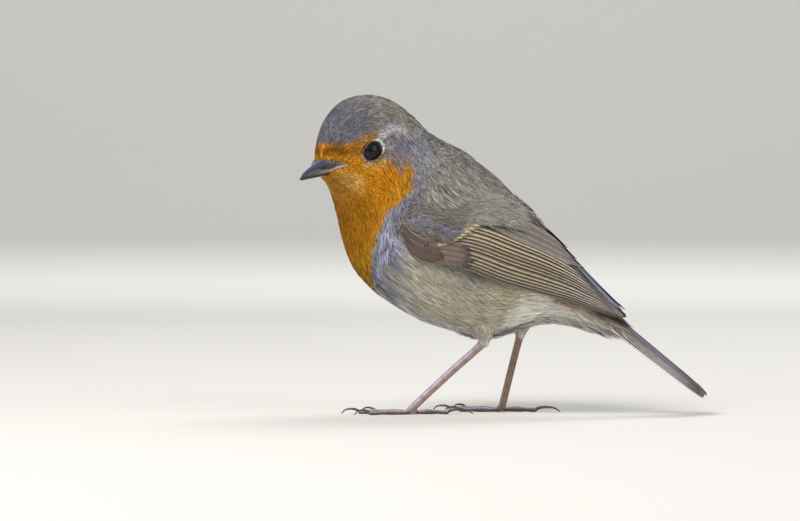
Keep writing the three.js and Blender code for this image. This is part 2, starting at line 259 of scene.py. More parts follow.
# back point x, z; front point x, z; half width; widest place as a share of the way from the
# front point to the back point; share of the head's turn
bodyRibs = np.array([
    [-53.0, 67.4, -52.3, 63.8, 2.3, 0.5, 1],        # base of the bill
    [-52.7, 70.2, -50.6, 62.0, 4.2, 0.5, 1],        # lores
    [-51.3, 74.8, -47.9, 59.8, 6.2, 0.5, 1],        # forehead
    [-48.6, 79.8, -45.4, 57.0, 8.3, 0.5, 1],        # brow
    [-43.6, 83.7, -43.7, 53.4, 10.0, 0.5, 1],       # eyes
    [-36.4, 84.8, -42.6, 49.4, 11.5, 0.5, 0.97],    # crown
    [-29.5, 83.2, -41.9, 45.4, 12.5, 0.47, 0.86],   # back of the crown
    [-24.0, 79.2, -40.9, 41.4, 14.0, 0.44, 0.66],   # nape
    [-19.4, 74.6, -39.2, 37.6, 16.2, 0.43, 0.42],   # neck
    [-14.2, 71.6, -36.4, 34.2, 18.4, 0.45, 0.2],    # shoulders
    [-8.4, 68.3, -32.4, 30.8, 19.8, 0.47, 0.06],    # mantle
    [2.8, 58.4, -20.0, 24.0, 19.8, 0.5, 0],         # back and belly
    [11.0, 46.6, -4.0, 20.8, 16.6, 0.52, 0],        # rump and vent
    [18.6, 37.0, 13.4, 25.7, 9.6, 0.54, 0],         # tail coverts
    [30.0, 26.9, 29.2, 21.7, 4.6, 0.55, 0],         # where the coverts end
    [38.0, 21.0, 36.6, 16.6, 5.4, 0.5, 0],          # over the tail, for the feathers alone
    [44.5, 15.8, 43.3, 11.6, 6.2, 0.5, 0],
])
lastRib = 14  # the skin ends here


def between(rows, place):
    # Catmull-Rom curve down the rows of a table, at a place counted in rows
    place = np.asarray(place, float)
    i = np.clip(np.floor(place).astype(int), 0, len(rows) - 2)
    t = (place - i)[..., None]
    a, b, c, d = (rows[np.clip(i + k, 0, len(rows) - 1)] for k in (-1, 0, 1, 2))
    return b + 0.5 * t * (c - a + t * (2 * a - 5 * b + 4 * c - d + t * (3 * (b - c) + d - a)))


def turnHead(points, share):
    # points turned about the upright pivot line by a share of the head's turn
    angle = math.radians(headTurn) * np.asarray(share)
    ahead = points[..., 0] - headPivotX
    x = headPivotX + ahead * np.cos(angle) - points[..., 1] * np.sin(angle)
    y = ahead * np.sin(angle) + points[..., 1] * np.cos(angle)
    return np.stack([x - lengthCentre, y, points[..., 2]], -1)


def bodyPoint(place, around, swell=0.0):
    # A rib is two half ellipses on the line from its front to its back point: the point is
    # front + (widest share + reach cos) along that line, and (half width) sin to the side.
    # Swell moves it off the ribs' surface. Ribs are then turned by their share of the head's.
    place, around, swell = np.broadcast_arrays(np.asarray(place, float), around, swell)
    backX, backZ, frontX, frontZ, half, widest, share = np.moveaxis(
        between(bodyRibs, place), -1, 0)
    height = np.hypot(backX - frontX, backZ - frontZ)
    ex, ez = (backX - frontX) / height, (backZ - frontZ) / height
    reach = np.where(np.cos(around) > 0, 1 - widest, widest) * height + swell
    along = widest * height + reach * np.cos(around)
    side = -(half + swell) * np.sin(around)
    return turnHead(np.stack([frontX + ex * along, side, frontZ + ez * along], -1), share)


def backToFront(around):  # angle from the back, 0, to the belly, pi, whichever the side
    folded = np.mod(around, 2 * np.pi)
    return np.where(folded > np.pi, 2 * np.pi - folded, folded)


# the folded wing's form, left side

# lower edge x, y, z; upper edge x, y, z; arch between them
wingRibs = np.array([
    [-25.9, -17.0, 48.9, -25.2, -15.4, 52.6, 0.5],   # bend of the wing
    [-22.0, -19.9, 43.3, -19.0, -16.9, 55.6, 1.7],
    [-16.0, -20.7, 40.7, -10.6, -16.4, 55.9, 2.2],
    [-7.1, -20.7, 38.9, -1.6, -12.6, 56.6, 3.0],     # tips of the coverts
    [2.1, -18.8, 35.2, 6.6, -3.9, 53.9, 4.1],
    [11.0, -15.0, 32.5, 14.1, -1.4, 46.7, 3.2],
    [19.2, -11.4, 30.2, 20.8, -1.4, 39.2, 1.9],
    [26.1, -7.6, 27.8, 27.7, -2.2, 31.9, 0.8],
    [32.8, -4.6, 25.7, 33.0, -3.2, 26.8, 0.1],       # wing tip
])
wingTip = len(wingRibs) - 1  # the place where the wing ends


def wingHeight(place):  # distance from the lower to the upper edge
    row = between(wingRibs, place)
    return np.linalg.norm(row[..., 3:6] - row[..., 0:3], axis=-1)


def wingPoint(place, share, swell, side):
    # lower edge + share of the way to the upper edge + arch 4 share (1 - share), outwards;
    # side is -1 for the left wing and 1 for the right one
    place, share, swell = np.broadcast_arrays(np.asarray(place, float), share, swell)
    row = between(wingRibs, place)
    ahead = between(wingRibs, np.minimum(place + 0.1, wingTip))
    behind = between(wingRibs, np.maximum(place - 0.1, 0))
    across = row[..., 3:6] - row[..., 0:3]
    out = unit(np.cross(across, ahead[..., 0:3] - behind[..., 0:3]))
    out = np.where(out[..., 1:2] > 0, -out, out)
    lift = 4 * row[..., 6] * share * (1 - share) + swell
    p = row[..., 0:3] + across * share[..., None] + out * lift[..., None]
    return np.stack([p[..., 0] - lengthCentre, -side * p[..., 1], p[..., 2]], -1)


# markings

markings = {  # colours of the plumage
    # the mantle's rear colour is lighter: painted light where the back turns from the lamps
    "mantle": (136, 132, 125), "mantleRearPaintedLight": (156, 151, 144), "crown": (99, 100, 111),
    "crownRear": (143, 138, 127), "nape": (125, 123, 124), "rump": (134, 127, 112),
    "upperTail": (124, 114, 102), "earGrey": (132, 130, 138), "neckBlue": (122, 124, 140),
    "breastSide": (124, 120, 121), "flank": (186, 179, 158), "flankRear": (206, 197, 168),
    # the belly's lower edge is white, made bluish and brighter by painted sky light from below
    "belly": (204, 198, 180), "bellyEdgeSkyLight": (220, 220, 230), "bellyFront": (138, 140, 156),
    "vent": (255, 252, 240), "ventBuff": (150, 122, 78),
    "underTail": (226, 224, 222), "tailSide": (132, 120, 106), "paleBrow": (206, 200, 204),
    "palePatch": (222, 184, 110), "lores": (138, 98, 42), "forehead": (114, 70, 5),
    "brow": (150, 112, 60), "earLine": (80, 77, 78), "border": (126, 128, 147),
    "orangeCheek": (206, 136, 18), "orangeChin": (176, 124, 36), "orangeFront": (160, 106, 5),
    "orangeBreast": (164, 116, 14), "orangeLow": (164, 124, 42),
}
# Washes laid one over another on the mantle's colour: the colour and its strength, the places
# it runs from and to and its softness there, the angles from the back and its softness there.
washes = [
    ("crown", 1, -2, 4.4, 1.3, -1, 1.35, 0.3),
    ("crownRear", 1, 4.6, 7.4, 1.0, -1, 1.3, 0.3),
    ("nape", 1, 7.2, 8.8, 0.9, -1, 1.5, 0.4),
    # painted light: the rear of the mantle is washed lighter where it turns from the lamps
    ("mantleRearPaintedLight", 0.9, 10.4, 12.2, 0.7, -1, 1.5, 0.3),
    ("rump", 1, 11.7, 13.6, 0.5, -1, 1.3, 0.3),
    ("upperTail", 1, 13.3, 18, 0.3, -1, 2.05, 0.25),
    ("earGrey", 0.8, 4.7, 7.8, 0.6, 0.95, 1.7, 0.3),
    ("neckBlue", 0.75, 6.4, 9.0, 0.7, 1.2, 2.0, 0.3),
    ("breastSide", 1, 7.8, 10.0, 0.9, 1.5, 2.7, 0.3),
    ("flank", 1, 9.8, 12.9, 0.7, 1.72, 2.5, 0.2),
    ("flankRear", 1, 11.5, 12.9, 0.4, 1.35, 2.5, 0.2),
    ("belly", 1, 9.9, 13.2, 0.8, 2.0, 4, 0.4),
    ("bellyFront", 0.8, 8.6, 10.2, 0.5, 2.2, 4, 0.3),
    # painted light: the white lower edge of the belly, tinted blue and brightened as if lit by sky
    ("bellyEdgeSkyLight", 0.85, 9.5, 12.0, 0.6, 2.75, 4, 0.25),
    ("vent", 1, 12.35, 18, 0.25, 1.5, 4, 0.3),
    ("ventBuff", 0.9, 13.05, 13.5, 0.15, 1.2, 2.0, 0.25),
    ("tailSide", 1, 13.5, 18, 0.2, 1.0, 2.05, 0.2),
    ("underTail", 1, 13.4, 18, 0.25, 2.1, 4, 0.2),
]
# Strokes of a colour at a strength between two points, each a place and an angle, with a half
# width in millimetres; they lie over the orange too.
strokes = [
    ("forehead", 1, (0.8, 0.3), (1.9, 1.2), 2.2),
    ("forehead", 0.75, (1.9, 1.25), (3.1, 1.38), 1.0),
    ("brow", 0.85, (2.8, 1.22), (4.5, 1.2), 0.8),
    ("paleBrow", 0.8, (4.6, 1.2), (6.1, 0.86), 0.9),
    ("paleBrow", 0.5, (4.9, 1.38), (5.4, 1.3), 0.6),
    ("palePatch", 0.5, (1.2, 2.0), (3.4, 2.15), 1.3),
    ("palePatch", 0.45, (1.7, 2.4), (3.3, 2.35), 1.5),
    ("palePatch", 0.6, (3.4, 1.78), (4.9, 1.62), 0.6),
    ("lores", 0.75, (2.3, 1.5), (3.2, 1.46), 0.7),
    ("earGrey", 0.7, (5.3, 1.42), (6.4, 1.34), 0.8),
    ("earLine", 0.8, (4.72, 1.28), (5.5, 1.05), 0.22),
]
plumageEdges = {"waveAlong": 0.25, "waveRound": 0.08, "waveBib": 0.3, "waveStroke": 0.2,
                "washStray": 0.7, "borderOutside": 1.8, "borderHalf": 2.0, "bibSoft": 0.4,
                "cheekSoft": 1.2}
bodySteps = np.array([5.0, 10.0])  # rough millimetres for one place and for one radian
# the orange begins at this angle from the back, for places along the body
orangeTop = np.array([[-1, -0.3], [1.3, -0.2], [1.43, 0.39], [1.95, 1.05], [2.55, 1.17],
                      [3.29, 1.24], [4.2, 1.22], [4.6, 1.33], [4.85, 1.52], [5.17, 1.47],
                      [6.37, 1.3], [7.29, 1.08], [9, 1.0]])
# and it ends at this place, for angles from the back
orangeEnd = np.array([[0, 7.4], [1.08, 7.4], [1.15, 7.65], [1.33, 7.87], [1.63, 7.12],
                      [1.93, 6.55], [2.1, 6.68], [2.25, 7.0], [2.43, 7.6], [2.58, 8.5],
                      [2.7, 9.3], [2.85, 9.5], [3.15, 9.55]])


def ripple(place, around, fine, seed):
    # slow waves over the body from about -1 to 1: six sines of place and angle added up
    local = np.random.default_rng(seed)
    total = 0
    for _ in range(6):
        fx, fy, phase = local.uniform(0.4, 1.6), local.integers(1, 6), local.uniform(0, 6.3)
        total = total + np.sin(fx * fine * place + fy * fine * around * 0.6 + phase)
    return total / 2.6


def bibDistance(place, angle):
    # about how many millimetres inside the orange a place lies, negative outside it
    top = (angle - lookUp(place, orangeTop)) * bodySteps[1]
    end = (lookUp(angle, orangeEnd) - place) * bodySteps[0]
    return np.minimum(top, end)


def band(x, low, high, soft):  # 1 between low and high, 0 outside, soft edges
    return smooth(x, low - soft, low + soft) * (1 - smooth(x, high - soft, high + soft))


def plumage(place, around, stray=0.0):
    # Colour of the feathers whose ends lie at a place and an angle: washes on the mantle's
    # colour, the orange and its blue-grey border over them, then the strokes. Stray moves
    # the edges by some millimetres, and a slow wave makes them uneven.
    m = {name: linear(*value) for name, value in markings.items()}
    uneven = plumageEdges
    place, around, stray = np.broadcast_arrays(np.asarray(place, float), around, stray)
    angle = backToFront(around)
    wave = ripple(place, around, 1.6, 3)
    colour = m["mantle"] + np.zeros(place.shape + (3,))
    for name, strength, low, high, soft, first, last, edge in washes:
        share = strength * band(place + uneven["waveAlong"] * wave, low, high, soft) \
            * band(angle + uneven["waveRound"] * wave, first, last, edge)
        colour = blend(colour, m[name], np.clip(share * (1 + uneven["washStray"] * stray), 0, 1))
    inside = bibDistance(place, angle) + uneven["waveBib"] * wave + stray
    border = np.exp(-np.square((inside + uneven["borderOutside"]) / uneven["borderHalf"]))
    border = border * smooth(place, 4.6, 6.0) * (1 - smooth(angle, 2.5, 2.9))
    colour = blend(colour, m["border"], border * np.clip(0.7 + 0.6 * stray, 0, 1))
    orange = m["orangeCheek"]
    for name, share in (
            ("orangeChin", smooth(angle + 0.1 * wave, 1.9, 2.4) * (1 - smooth(place, 2.2, 3.8))),
            ("orangeFront", smooth(angle, 2.0, 2.6) * smooth(place, 2.4, 3.8)),
            ("orangeBreast", smooth(place, 6.0, 7.6)),
            ("orangeLow", smooth(place, 7.8, 10.0) * smooth(angle, 2.2, 2.8))):
        orange = blend(orange, m[name], share)
    cheek = band(place, 4.9, 6.5, 0.4) * (1 - smooth(angle, 1.5, 1.8))
    soft = uneven["bibSoft"] + uneven["cheekSoft"] * cheek
    colour = blend(colour, orange, smooth(inside / soft, -1, 1))
    here = np.stack([place, angle], -1) * bodySteps
    for name, strength, first, last, half in strokes:
        a, b = np.array(first) * bodySteps, np.array(last) * bodySteps
        along = np.clip(((here - a) @ (b - a)) / ((b - a) @ (b - a)), 0, 1)
        far = np.linalg.norm(here - a - along[..., None] * (b - a), axis=-1)
        far = far + uneven["waveStroke"] * wave
        colour = blend(colour, m[name], strength * np.exp(-np.square(far / half)))
    return colour


# tufts

def spreadRoots(count, places, surface=bodyPoint, arounds=(0, 2 * np.pi),
                weight=lambda place, around: 1.0):
    # Roots spread evenly by weight times area: the weight is summed over a fine grid of the
    # surface, and a steady two-number sequence is read back through the running sums.
    rows, columns = 240, 256
    p, q = np.linspace(*places, rows), np.linspace(*arounds, columns)
    placeGrid, aroundGrid = np.meshgrid(p, q, indexing="ij")
    at = surface(placeGrid, aroundGrid)
    area = np.linalg.norm(np.cross(np.gradient(at, axis=0), np.gradient(at, axis=1)), axis=-1)
    mass = area * weight(placeGrid, aroundGrid) + 1e-12
    downRows = np.cumsum(mass.sum(1))
    k = np.arange(count) + 0.5
    first, second = np.mod(0.5 + k * 0.7548776662, 1), np.mod(0.5 + k * 0.5698402910, 1)
    place = np.interp(first * downRows[-1], downRows, p)
    row = np.clip(((place - p[0]) / (p[-1] - p[0]) * (rows - 1)).astype(int), 0, rows - 1)
    running = np.cumsum(mass, axis=1)
    running = running / running[:, -1:]
    column = (running[row] < second[:, None]).sum(1)
    lower = np.where(column > 0, running[row, np.maximum(column - 1, 0)], 0)
    upper = running[row, np.minimum(column, columns - 1)]
    part = (second - lower) / np.maximum(upper - lower, 1e-9)
    return place, q[0] + (column - 1 + part) / (columns - 1) * (q[-1] - q[0])


def localFrame(surface, place, around):
    # point, its steps a and b per unit of place and around, and square unit directions
    h = 1e-3
    a = (surface(place + h, around) - surface(place - h, around)) / (2 * h)
    b = (surface(place, around + h) - surface(place, around - h)) / (2 * h)
    ea = unit(a)
    eb = unit(b - ea * np.sum(b * ea, -1, keepdims=True))
    return surface(place, around), a, b, ea, eb


def localSteps(surface, place, around, heading):
    # steps in place and around for one millimetre along the heading, then for one across it
    _, a, b, ea, eb = localFrame(surface, place, around)
    c, s = np.cos(heading)[:, None], np.sin(heading)[:, None]
    aa, ab, bb = (a * a).sum(-1), (a * b).sum(-1), (b * b).sum(-1)
    det = np.maximum(aa * bb - ab * ab, 1e-9)
    steps = []
    for way in (c * ea + s * eb, -s * ea + c * eb):
        wa, wb = (a * way).sum(-1), (b * way).sum(-1)
        steps += [(bb * wa - ab * wb) / det, (aa * wb - ab * wa) / det]
    return steps


# for all tufts: how uneven the barbs stand and how far out at most, the fan's width at its
# root, how far barbs stray aside and lift, and how dark the gaps are
barbShape = {"uneven": 0.35, "widest": 1.15, "rootWidth": 0.3, "stray": 0.06, "lifted": 0.05,
             "gapShade": 0.55}


def tuftPoints(surface, place, around, heading, length, width, depth, lift, look):
    # A tuft is a fan of thin barbs. Barb j (from -1 to 1) at t (0 root, 1 tip) lies at
    #   along = length t (1 - round j j),  across = width/2 j fan(t)
    # and its height rises from -depth at the root to the lift at the tip by a power of 1 - t.
    # Everything is laid out in the surface's own two numbers, so tufts bend with it. A barb
    # has two points a step, one at the tip: it narrows by the look's profile and rolls over.
    n, barbs = len(place), look["barbs"]
    alongPlace, alongAround, acrossPlace, acrossAround = localSteps(surface, place, around,
                                                                    heading)
    length, width, depth, lift = ((x + np.zeros(n))[:, None, None]
                                  for x in (length, width, depth, lift))
    t = np.array(look["steps"])
    jitter = rng.normal(0, 1, (4, n, barbs))
    barb = np.linspace(-1, 1, barbs) + barbShape["uneven"] / barbs * jitter[0]
    barb = np.clip(barb, -barbShape["widest"], barbShape["widest"])[:, :, None]
    fan = np.sin(np.pi / 2 * np.clip(t * 1.25, 0, 1))
    fan = barbShape["rootWidth"] + (1 - barbShape["rootWidth"]) * fan
    reach = (1 - look["round"] * barb * barb) * (1 + look["ragged"] * jitter[1][:, :, None])
    along = length * t * reach
    across = 0.5 * width * barb * fan + rng.normal(0, look["curl"], (n, 1, 1)) * length * t * t
    across = across + barbShape["stray"] * jitter[2][:, :, None] * width * t
    height = lift - (depth + lift) * (1 - t) ** look["rise"]
    height = height - look["droop"] * barb * barb * t \
        + barbShape["lifted"] * jitter[3][:, :, None] * t
    half = 0.5 * look["barbWidth"] * np.array(look["profile"])
    half = half * (0.8 + 0.4 * rng.random((n, barbs, 1)))
    roll = rng.normal(0, look["roll"], (n, barbs, 1))
    along = np.stack([along, along], -1)
    across = np.stack([across - half, across + half], -1)
    height = np.stack([height - half * roll, height + half * roll], -1)
    grow = lambda x: x[:, None, None, None]
    points = surface(grow(place) + along * grow(alongPlace) + across * grow(acrossPlace),
                     grow(around) + along * grow(alongAround) + across * grow(acrossAround),
                     height)
    points[:, :, -1, 0] = 0.5 * (points[:, :, -1, 0] + points[:, :, -1, 1])
    return points.reshape(n, barbs, 2 * len(t), 3)[:, :, :-1], barb


def tuftTint(n, colour, look):
    # the tuft's colour times streaks barb by barb and two by two, dark gaps, a shade of its
    # own, and the look's shade from root to tip
    barbs = look["barbs"]
    clump = np.repeat(rng.normal(0, 1, (n, barbs // 2 + 1)), 2, axis=1)[:, :barbs]
    shade = 1 + look["streak"] * (0.7 * rng.normal(0, 1, (n, barbs)) + 0.7 * clump)
    shade = np.where(rng.random((n, barbs)) < look["gaps"], barbShape["gapShade"] * shade, shade)
    shade = shade[..., None, None] * (1 + look["patch"] * rng.normal(0, 1, (n, 1, 1, 1)))
    tint = colour[:, None, None] * np.clip(shade, 0.4, 1.6) * np.array(look["shade"])[:, None]
    return np.repeat(tint, 2, axis=2)[:, :, :-1]


def tuftFaces(count, steps):
    # quads up each of the count barbs and a triangle at its tip
    base = (np.arange(count) * (2 * steps - 1))[:, None]
    corner = base + np.arange(steps - 2) * 2
    quads = np.stack([corner, corner + 1, corner + 3, corner + 2], -1).reshape(-1, 4)
    tip = base[:, 0] + 2 * (steps - 2)
    return [quads, np.stack([tip, tip + 1, tip + 2], -1)]


def tuftMap(unwrap, place, around, barb, t):
    # each tuft has a small patch of the bake map about its root's own place
    u, v = (x[:, None, None] for x in unwrap(place, around))
    t = np.repeat(t, 2)[:-1]
    return np.stack([u + 0.0015 * barb + 0 * t, v + 0.003 * (t - 0.5) + 0 * barb], -1)


def bodyUnwrap(place, around):  # the skin slit along the back and laid flat
    return 0.02 + 0.93 * place / lastRib, 0.02 + 0.96 * np.mod(around / (2 * np.pi), 1)


# Steps are shares of a barb's length, with its profile and shade at each. Round, ragged and
# droop shape a tuft's end, curl and roll bend and tip barbs, in radians or shares of length.
# Streak, gaps and patch are how unlike its barbs, how many of them dark, how unlike tufts are.
feathery = {"barbs": 13, "steps": (0, 0.4, 0.75, 1), "profile": (0.8, 1, 0.75, 0),
            "round": 0.32, "ragged": 0.1, "curl": 0.06, "rise": 1.7, "droop": 0.12, "roll": 0.4}
tuftLooks = {
    "fine": {"barbs": 9, "steps": (0, 0.6, 1), "profile": (0.9, 1, 0), "round": 0.3,
             "ragged": 0.1, "curl": 0.05, "rise": 1.6, "droop": 0.05, "barbWidth": 0.17,
             "roll": 0.5, "streak": 0.45, "gaps": 0.24, "patch": 0.15, "shade": (0.5, 0.95, 1.14)},
    "soft": {**feathery, "barbWidth": 0.22, "streak": 0.32, "gaps": 0.16, "patch": 0.07,
             "shade": (0.45, 0.84, 1.0, 1.1)},
    "silky": {**feathery, "barbWidth": 0.24, "roll": 0.35, "streak": 0.22, "gaps": 0.1,
              "patch": 0.06, "shade": (0.5, 0.84, 0.98, 1.06)},
    "cover": {**feathery, "barbWidth": 0.23, "streak": 0.22, "gaps": 0.08, "patch": 0.06,
              "shade": (0.8, 0.94, 1.0, 1.06)},
    "wisp": {"barbs": 3, "steps": (0, 0.3, 0.6, 1), "profile": (0.7, 1, 0.8, 0),
             "round": 0.2, "ragged": 0.1, "curl": 0.12, "rise": 1.3, "droop": 0.0,
             "barbWidth": 0.26, "roll": 0.3, "streak": 0.12, "gaps": 0.0, "patch": 0.15,
             "shade": (0.6, 0.9, 1.0, 1.05)},
    "loose": {**feathery, "barbs": 12, "profile": (0.8, 1, 0.7, 0), "round": 0.4,
              "ragged": 0.16, "curl": 0.1, "rise": 1.5, "droop": 0.1, "barbWidth": 0.22,
              "roll": 0.5, "streak": 0.25, "gaps": 0.06, "patch": 0.08,
              "shade": (0.5, 0.85, 1.0, 1.08)},
}


def triangles(faces):  # how many triangles the faces make
    return sum(len(f) * (f.shape[1] - 2) for f in faces)


def growTufts(name, surface, roots, size, heading, depth, lift, colour, lookName, unwrap,
              material):
    # one mesh of tufts; roots are places and angles, size is length and width in millimetres
    look, n = tuftLooks[lookName], len(roots[0])
    points, barb = tuftPoints(surface, *roots, heading, *size, depth, lift, look)
    tint = tuftTint(n, colour, look)
    faces = tuftFaces(n * look["barbs"], len(look["steps"]))
    spot = tuftMap(unwrap, *roots, barb, np.array(look["steps"]))
    out = surface(*roots, 1.0) - surface(*roots)
    one, two = points[:, 0, 2] - points[:, 0, 0], points[:, 0, 1] - points[:, 0, 0]
    if np.einsum("ij,ij->i", np.cross(two, one), out).mean() <= 0:
        faces = [f[:, ::-1] for f in faces]
    makePiece(name, points.reshape(-1, 3), faces, material, tint.reshape(-1, 3),
              bakeMap=spot.reshape(-1, 2))
    print(name, n, "tufts", triangles(faces), "triangles")


# eyes

eyes = {"radius": 3.4, "ahead": 9.9, "side": 10.05, "height": 70.1, "proud": 0.95,
        "forward": 12, "up": 4, "opening": (2.88, 2.14), "tilt": 143, "lidWidth": 0.2,
        "lidThick": 0.14, "pupil": 29, "iris": 46, "ballShows": 2.9, "fall": 0.35,
        "ringTufts": 76, "ringRows": (0.2, 0.5), "whiteAt": 2.55, "amberAt": 0.75,
        "arcHalf": 0.85, "ball": (3, 3, 4), "irisBrown": (16, 11, 10),
        "lid": (52, 44, 42), "ringPale": (222, 208, 176), "ringWhite": (252, 250, 246),
        "ringAmber": (150, 100, 36)}


def eyeFrame(side):
    # centre, outward, forward and upward directions of an eye, head turned
    f, u = math.radians(eyes["forward"]), math.radians(eyes["up"])
    out = unit(np.array([-math.sin(f), side * math.cos(f), math.sin(u)]))
    centre = np.array([headPivotX - eyes["ahead"], side * eyes["side"], eyes["height"]])
    centre = centre + out * (eyes["proud"] - eyes["radius"])
    ahead = unit(np.array([-1, 0, 0]) - out * -out[0])
    up = np.cross(ahead, out) * -side
    ends = turnHead(np.stack([centre, centre + out, centre + ahead, centre + up]), 1.0)
    return ends[0], ends[1] - ends[0], ends[2] - ends[0], ends[3] - ends[0]


def roundEye(side, turn):  # directions square to an eye's axis, at angles from ahead to up
    _, _, ahead, up = eyeFrame(side)
    return np.cos(turn)[..., None] * ahead + np.sin(turn)[..., None] * up


def fromEye(points, side):
    # distances of points from an eye's axis and along it, and their angle round it
    centre, out, ahead, up = eyeFrame(side)
    off = points - centre
    depth = off @ out
    flat = off - depth[..., None] * out
    return np.linalg.norm(flat, axis=-1), depth, np.arctan2(off @ up, off @ ahead)


def opening(turn):  # radius of an eye's opening at an angle round its axis: a tilted oval
    a, b = eyes["opening"]
    angle = turn - math.radians(eyes["tilt"])
    return a * b / np.sqrt((b * np.cos(angle)) ** 2 + (a * np.sin(angle)) ** 2)


def eyeDistance(points):
    # how far points lie outside the nearer eye's opening, measured across its axis
    best = np.full(points.shape[:-1], 99.0)
    for side in (-1, 1):
        flat, depth, turn = fromEye(points, side)
        best = np.where(depth > -1.0, np.minimum(best, flat - opening(turn)), best)
    return best


def turnedFrom(turn, middle):  # signed angle from the middle one
    return np.mod(turn - middle + np.pi, 2 * np.pi) - np.pi


def eyePoint(side):
    # surface round an eye: distance r from its axis and angle, at the ball's height as far
    # as the ball shows and falling slowly from there
    centre, out, _, _ = eyeFrame(side)

    def surface(r, turn, swell=0.0):
        r, turn, swell = np.broadcast_arrays(np.asarray(r, float), turn, swell)
        high = np.sqrt(eyes["radius"] ** 2 - np.clip(r, 0, eyes["ballShows"]) ** 2)
        high = high - eyes["fall"] * np.maximum(r - eyes["ballShows"], 0) + 0.1 + swell
        return centre + out * high[..., None] + roundEye(side, turn) * r[..., None]
    return surface


def makeBall(side, word, material):
    # A ball in rings round the eye's axis, each point = centre + radius * (cos tilt along
    # the axis + sin tilt square to it). The brown iris is a band of tilts.
    centre, out, _, _ = eyeFrame(side)
    tilt, turn = np.linspace(0, np.pi, 50)[1:-1], fullTurn(64)
    rings = centre + eyes["radius"] * (np.cos(tilt)[:, None, None] * out
                                       + np.sin(tilt)[:, None, None] * roundEye(side, turn))
    iris = blend(linear(*eyes["ball"]), linear(*eyes["irisBrown"]),
                 band(np.degrees(tilt), eyes["pupil"], eyes["iris"], 2))
    tubePiece(f"eye_{word}_ball", rings, material,
              np.repeat(iris[:, None], len(turn), 1), [f"eye_{word}"])


def makeLid(side, word, material):
    # A thin rounded band on the ball just outside the opening: round its section the radius
    # goes out by the lid's width and back, and the height goes by the sine.
    centre, out, _, _ = eyeFrame(side)
    turn, section = fullTurn(120), fullTurn(10)
    flat = opening(turn)[:, None] + eyes["lidWidth"] * (0.5 - 0.5 * np.cos(section))
    high = eyes["radius"] + eyes["lidThick"] * (0.35 + np.sin(section))
    drop = np.sqrt(np.maximum(eyes["radius"] ** 2 - flat ** 2, 0.01)) / eyes["radius"]
    rings = centre + (drop * high)[..., None] * out \
        + (flat * high / eyes["radius"])[..., None] * roundEye(side, turn)[:, None]
    points = rings.reshape(-1, 3)
    quads = gridFaces(len(turn) + 1, len(section), wrap=True) % len(points)
    makePiece(f"eye_{word}_lid", points, outward(points, [quads]), material,
              linear(*eyes["lid"]))


def makeEyeRing(side, word, material):
    # two rows of short pale tufts round the lid, white behind and above, amber in front
    count = eyes["ringTufts"]
    turn = np.tile((np.arange(count) + 0.5) / count * 2 * np.pi, 2)
    turn[count:] += np.pi / count
    turn += rng.normal(0, 0.02, 2 * count)
    r = opening(turn) + np.repeat(eyes["ringRows"], count)
    heading = 0.75 * np.sin(turn) + rng.normal(0, 0.12, 2 * count)
    white, amber = (np.exp(-(turnedFrom(turn, eyes[k]) / eyes["arcHalf"]) ** 4)
                    for k in ("whiteAt", "amberAt"))
    colour = linear(*eyes["ringPale"]) * rng.uniform(0.12, 1.15, (2 * count, 1))
    colour = blend(colour, linear(*eyes["ringWhite"]), white)
    colour = blend(colour, linear(*eyes["ringAmber"]), amber)
    length = (0.5 + 0.8 * white - 0.1 * amber) * rng.uniform(0.9, 1.1, 2 * count)
    ringMap = lambda r, turn: (0.5 + 0.12 * r * np.cos(turn), 0.5 + 0.12 * r * np.sin(turn))
    growTufts(f"eye_{word}_ring", eyePoint(side), (r, turn), (length, 0.34 + 0.12 * white),
              heading, 0.05, 0.28 + 0.3 * white, colour, "fine", ringMap, material)


def makeEyes(feathers):
    gloss = tintedMaterial("eyeGloss", 0.05, 900, 0.1, specular=0.3)
    lidSkin = tintedMaterial("lidSkin", 0.5, 1500, 0.25)
    for side, word in ((-1, "left"), (1, "right")):
        makeBall(side, word, gloss)
        makeLid(side, word, lidSkin)
        makeEyeRing(side, word, feathers)


# legs' places, used by the skin and the legs

legs = {
    # front and rear tint each shank's front and back: the front colours are a painted highlight,
    # lilac on the near left leg, and the right leg's browner, darker colours are painted shade of
    # the far leg
    "left": {"side": -1, "hip": (-2.6, -8.6, 31.0), "ankle": (-3.9, -7.1, 19.4),
             "foot": (-22.8, -8.0, 1.7), "toeOut": 5, "front": (172, 160, 182),
             "rear": (160, 132, 108)},
    "right": {"side": 1, "hip": (5.6, 8.0, 31.0), "ankle": (4.2, 6.4, 21.2),
              "foot": (-0.8, 7.5, 1.7), "toeOut": 7, "front": (162, 132, 116),
              "rear": (144, 114, 86)},
}
thigh = {"hipRadius": 5.0, "ankleRadius": 1.7, "skinUnder": 0.6}


def thighPoint(leg):
    # surface of a thigh: t runs down it from the hip, 0, to the ankle, 1, and the radius goes
    # evenly from the hip's to the ankle's
    hip, ankle = np.array(leg["hip"]), np.array(leg["ankle"])
    axis = ankle - hip
    across = unit(np.cross(axis, [0, 1.0, 0]))
    other = unit(np.cross(axis, across))

    def surface(t, around, swell=0.0):
        t, around, swell = np.broadcast_arrays(np.asarray(t, float), around, swell)
        radius = thigh["hipRadius"] + (thigh["ankleRadius"] - thigh["hipRadius"]) * t + swell
        radius = np.maximum(radius, 0.2)
        p = hip + axis * t[..., None] + radius[..., None] * (
            np.cos(around)[..., None] * across + np.sin(around)[..., None] * other)
        return p - np.array([lengthCentre, 0, 0])
    return surface


# skin

skin = {"rows": 250, "around": 200, "orbit": 1.6, "shade": 0.6,
        "endSpots": [[0.01, 0.5], [0.96, 0.5]]}
# for places along the body: how deep the skin lies under the feathers' tips
coatDepth = np.array([[0, 0.3], [1, 0.45], [2, 0.7], [4, 0.9], [6, 1.2], [8, 1.9], [10, 2.6],
                      [11, 2.9], [12, 2.6], [13, 1.6], [14, 1.0], [16, 0.8]])


def skinDepth(place):
    return lookUp(place, coatDepth)


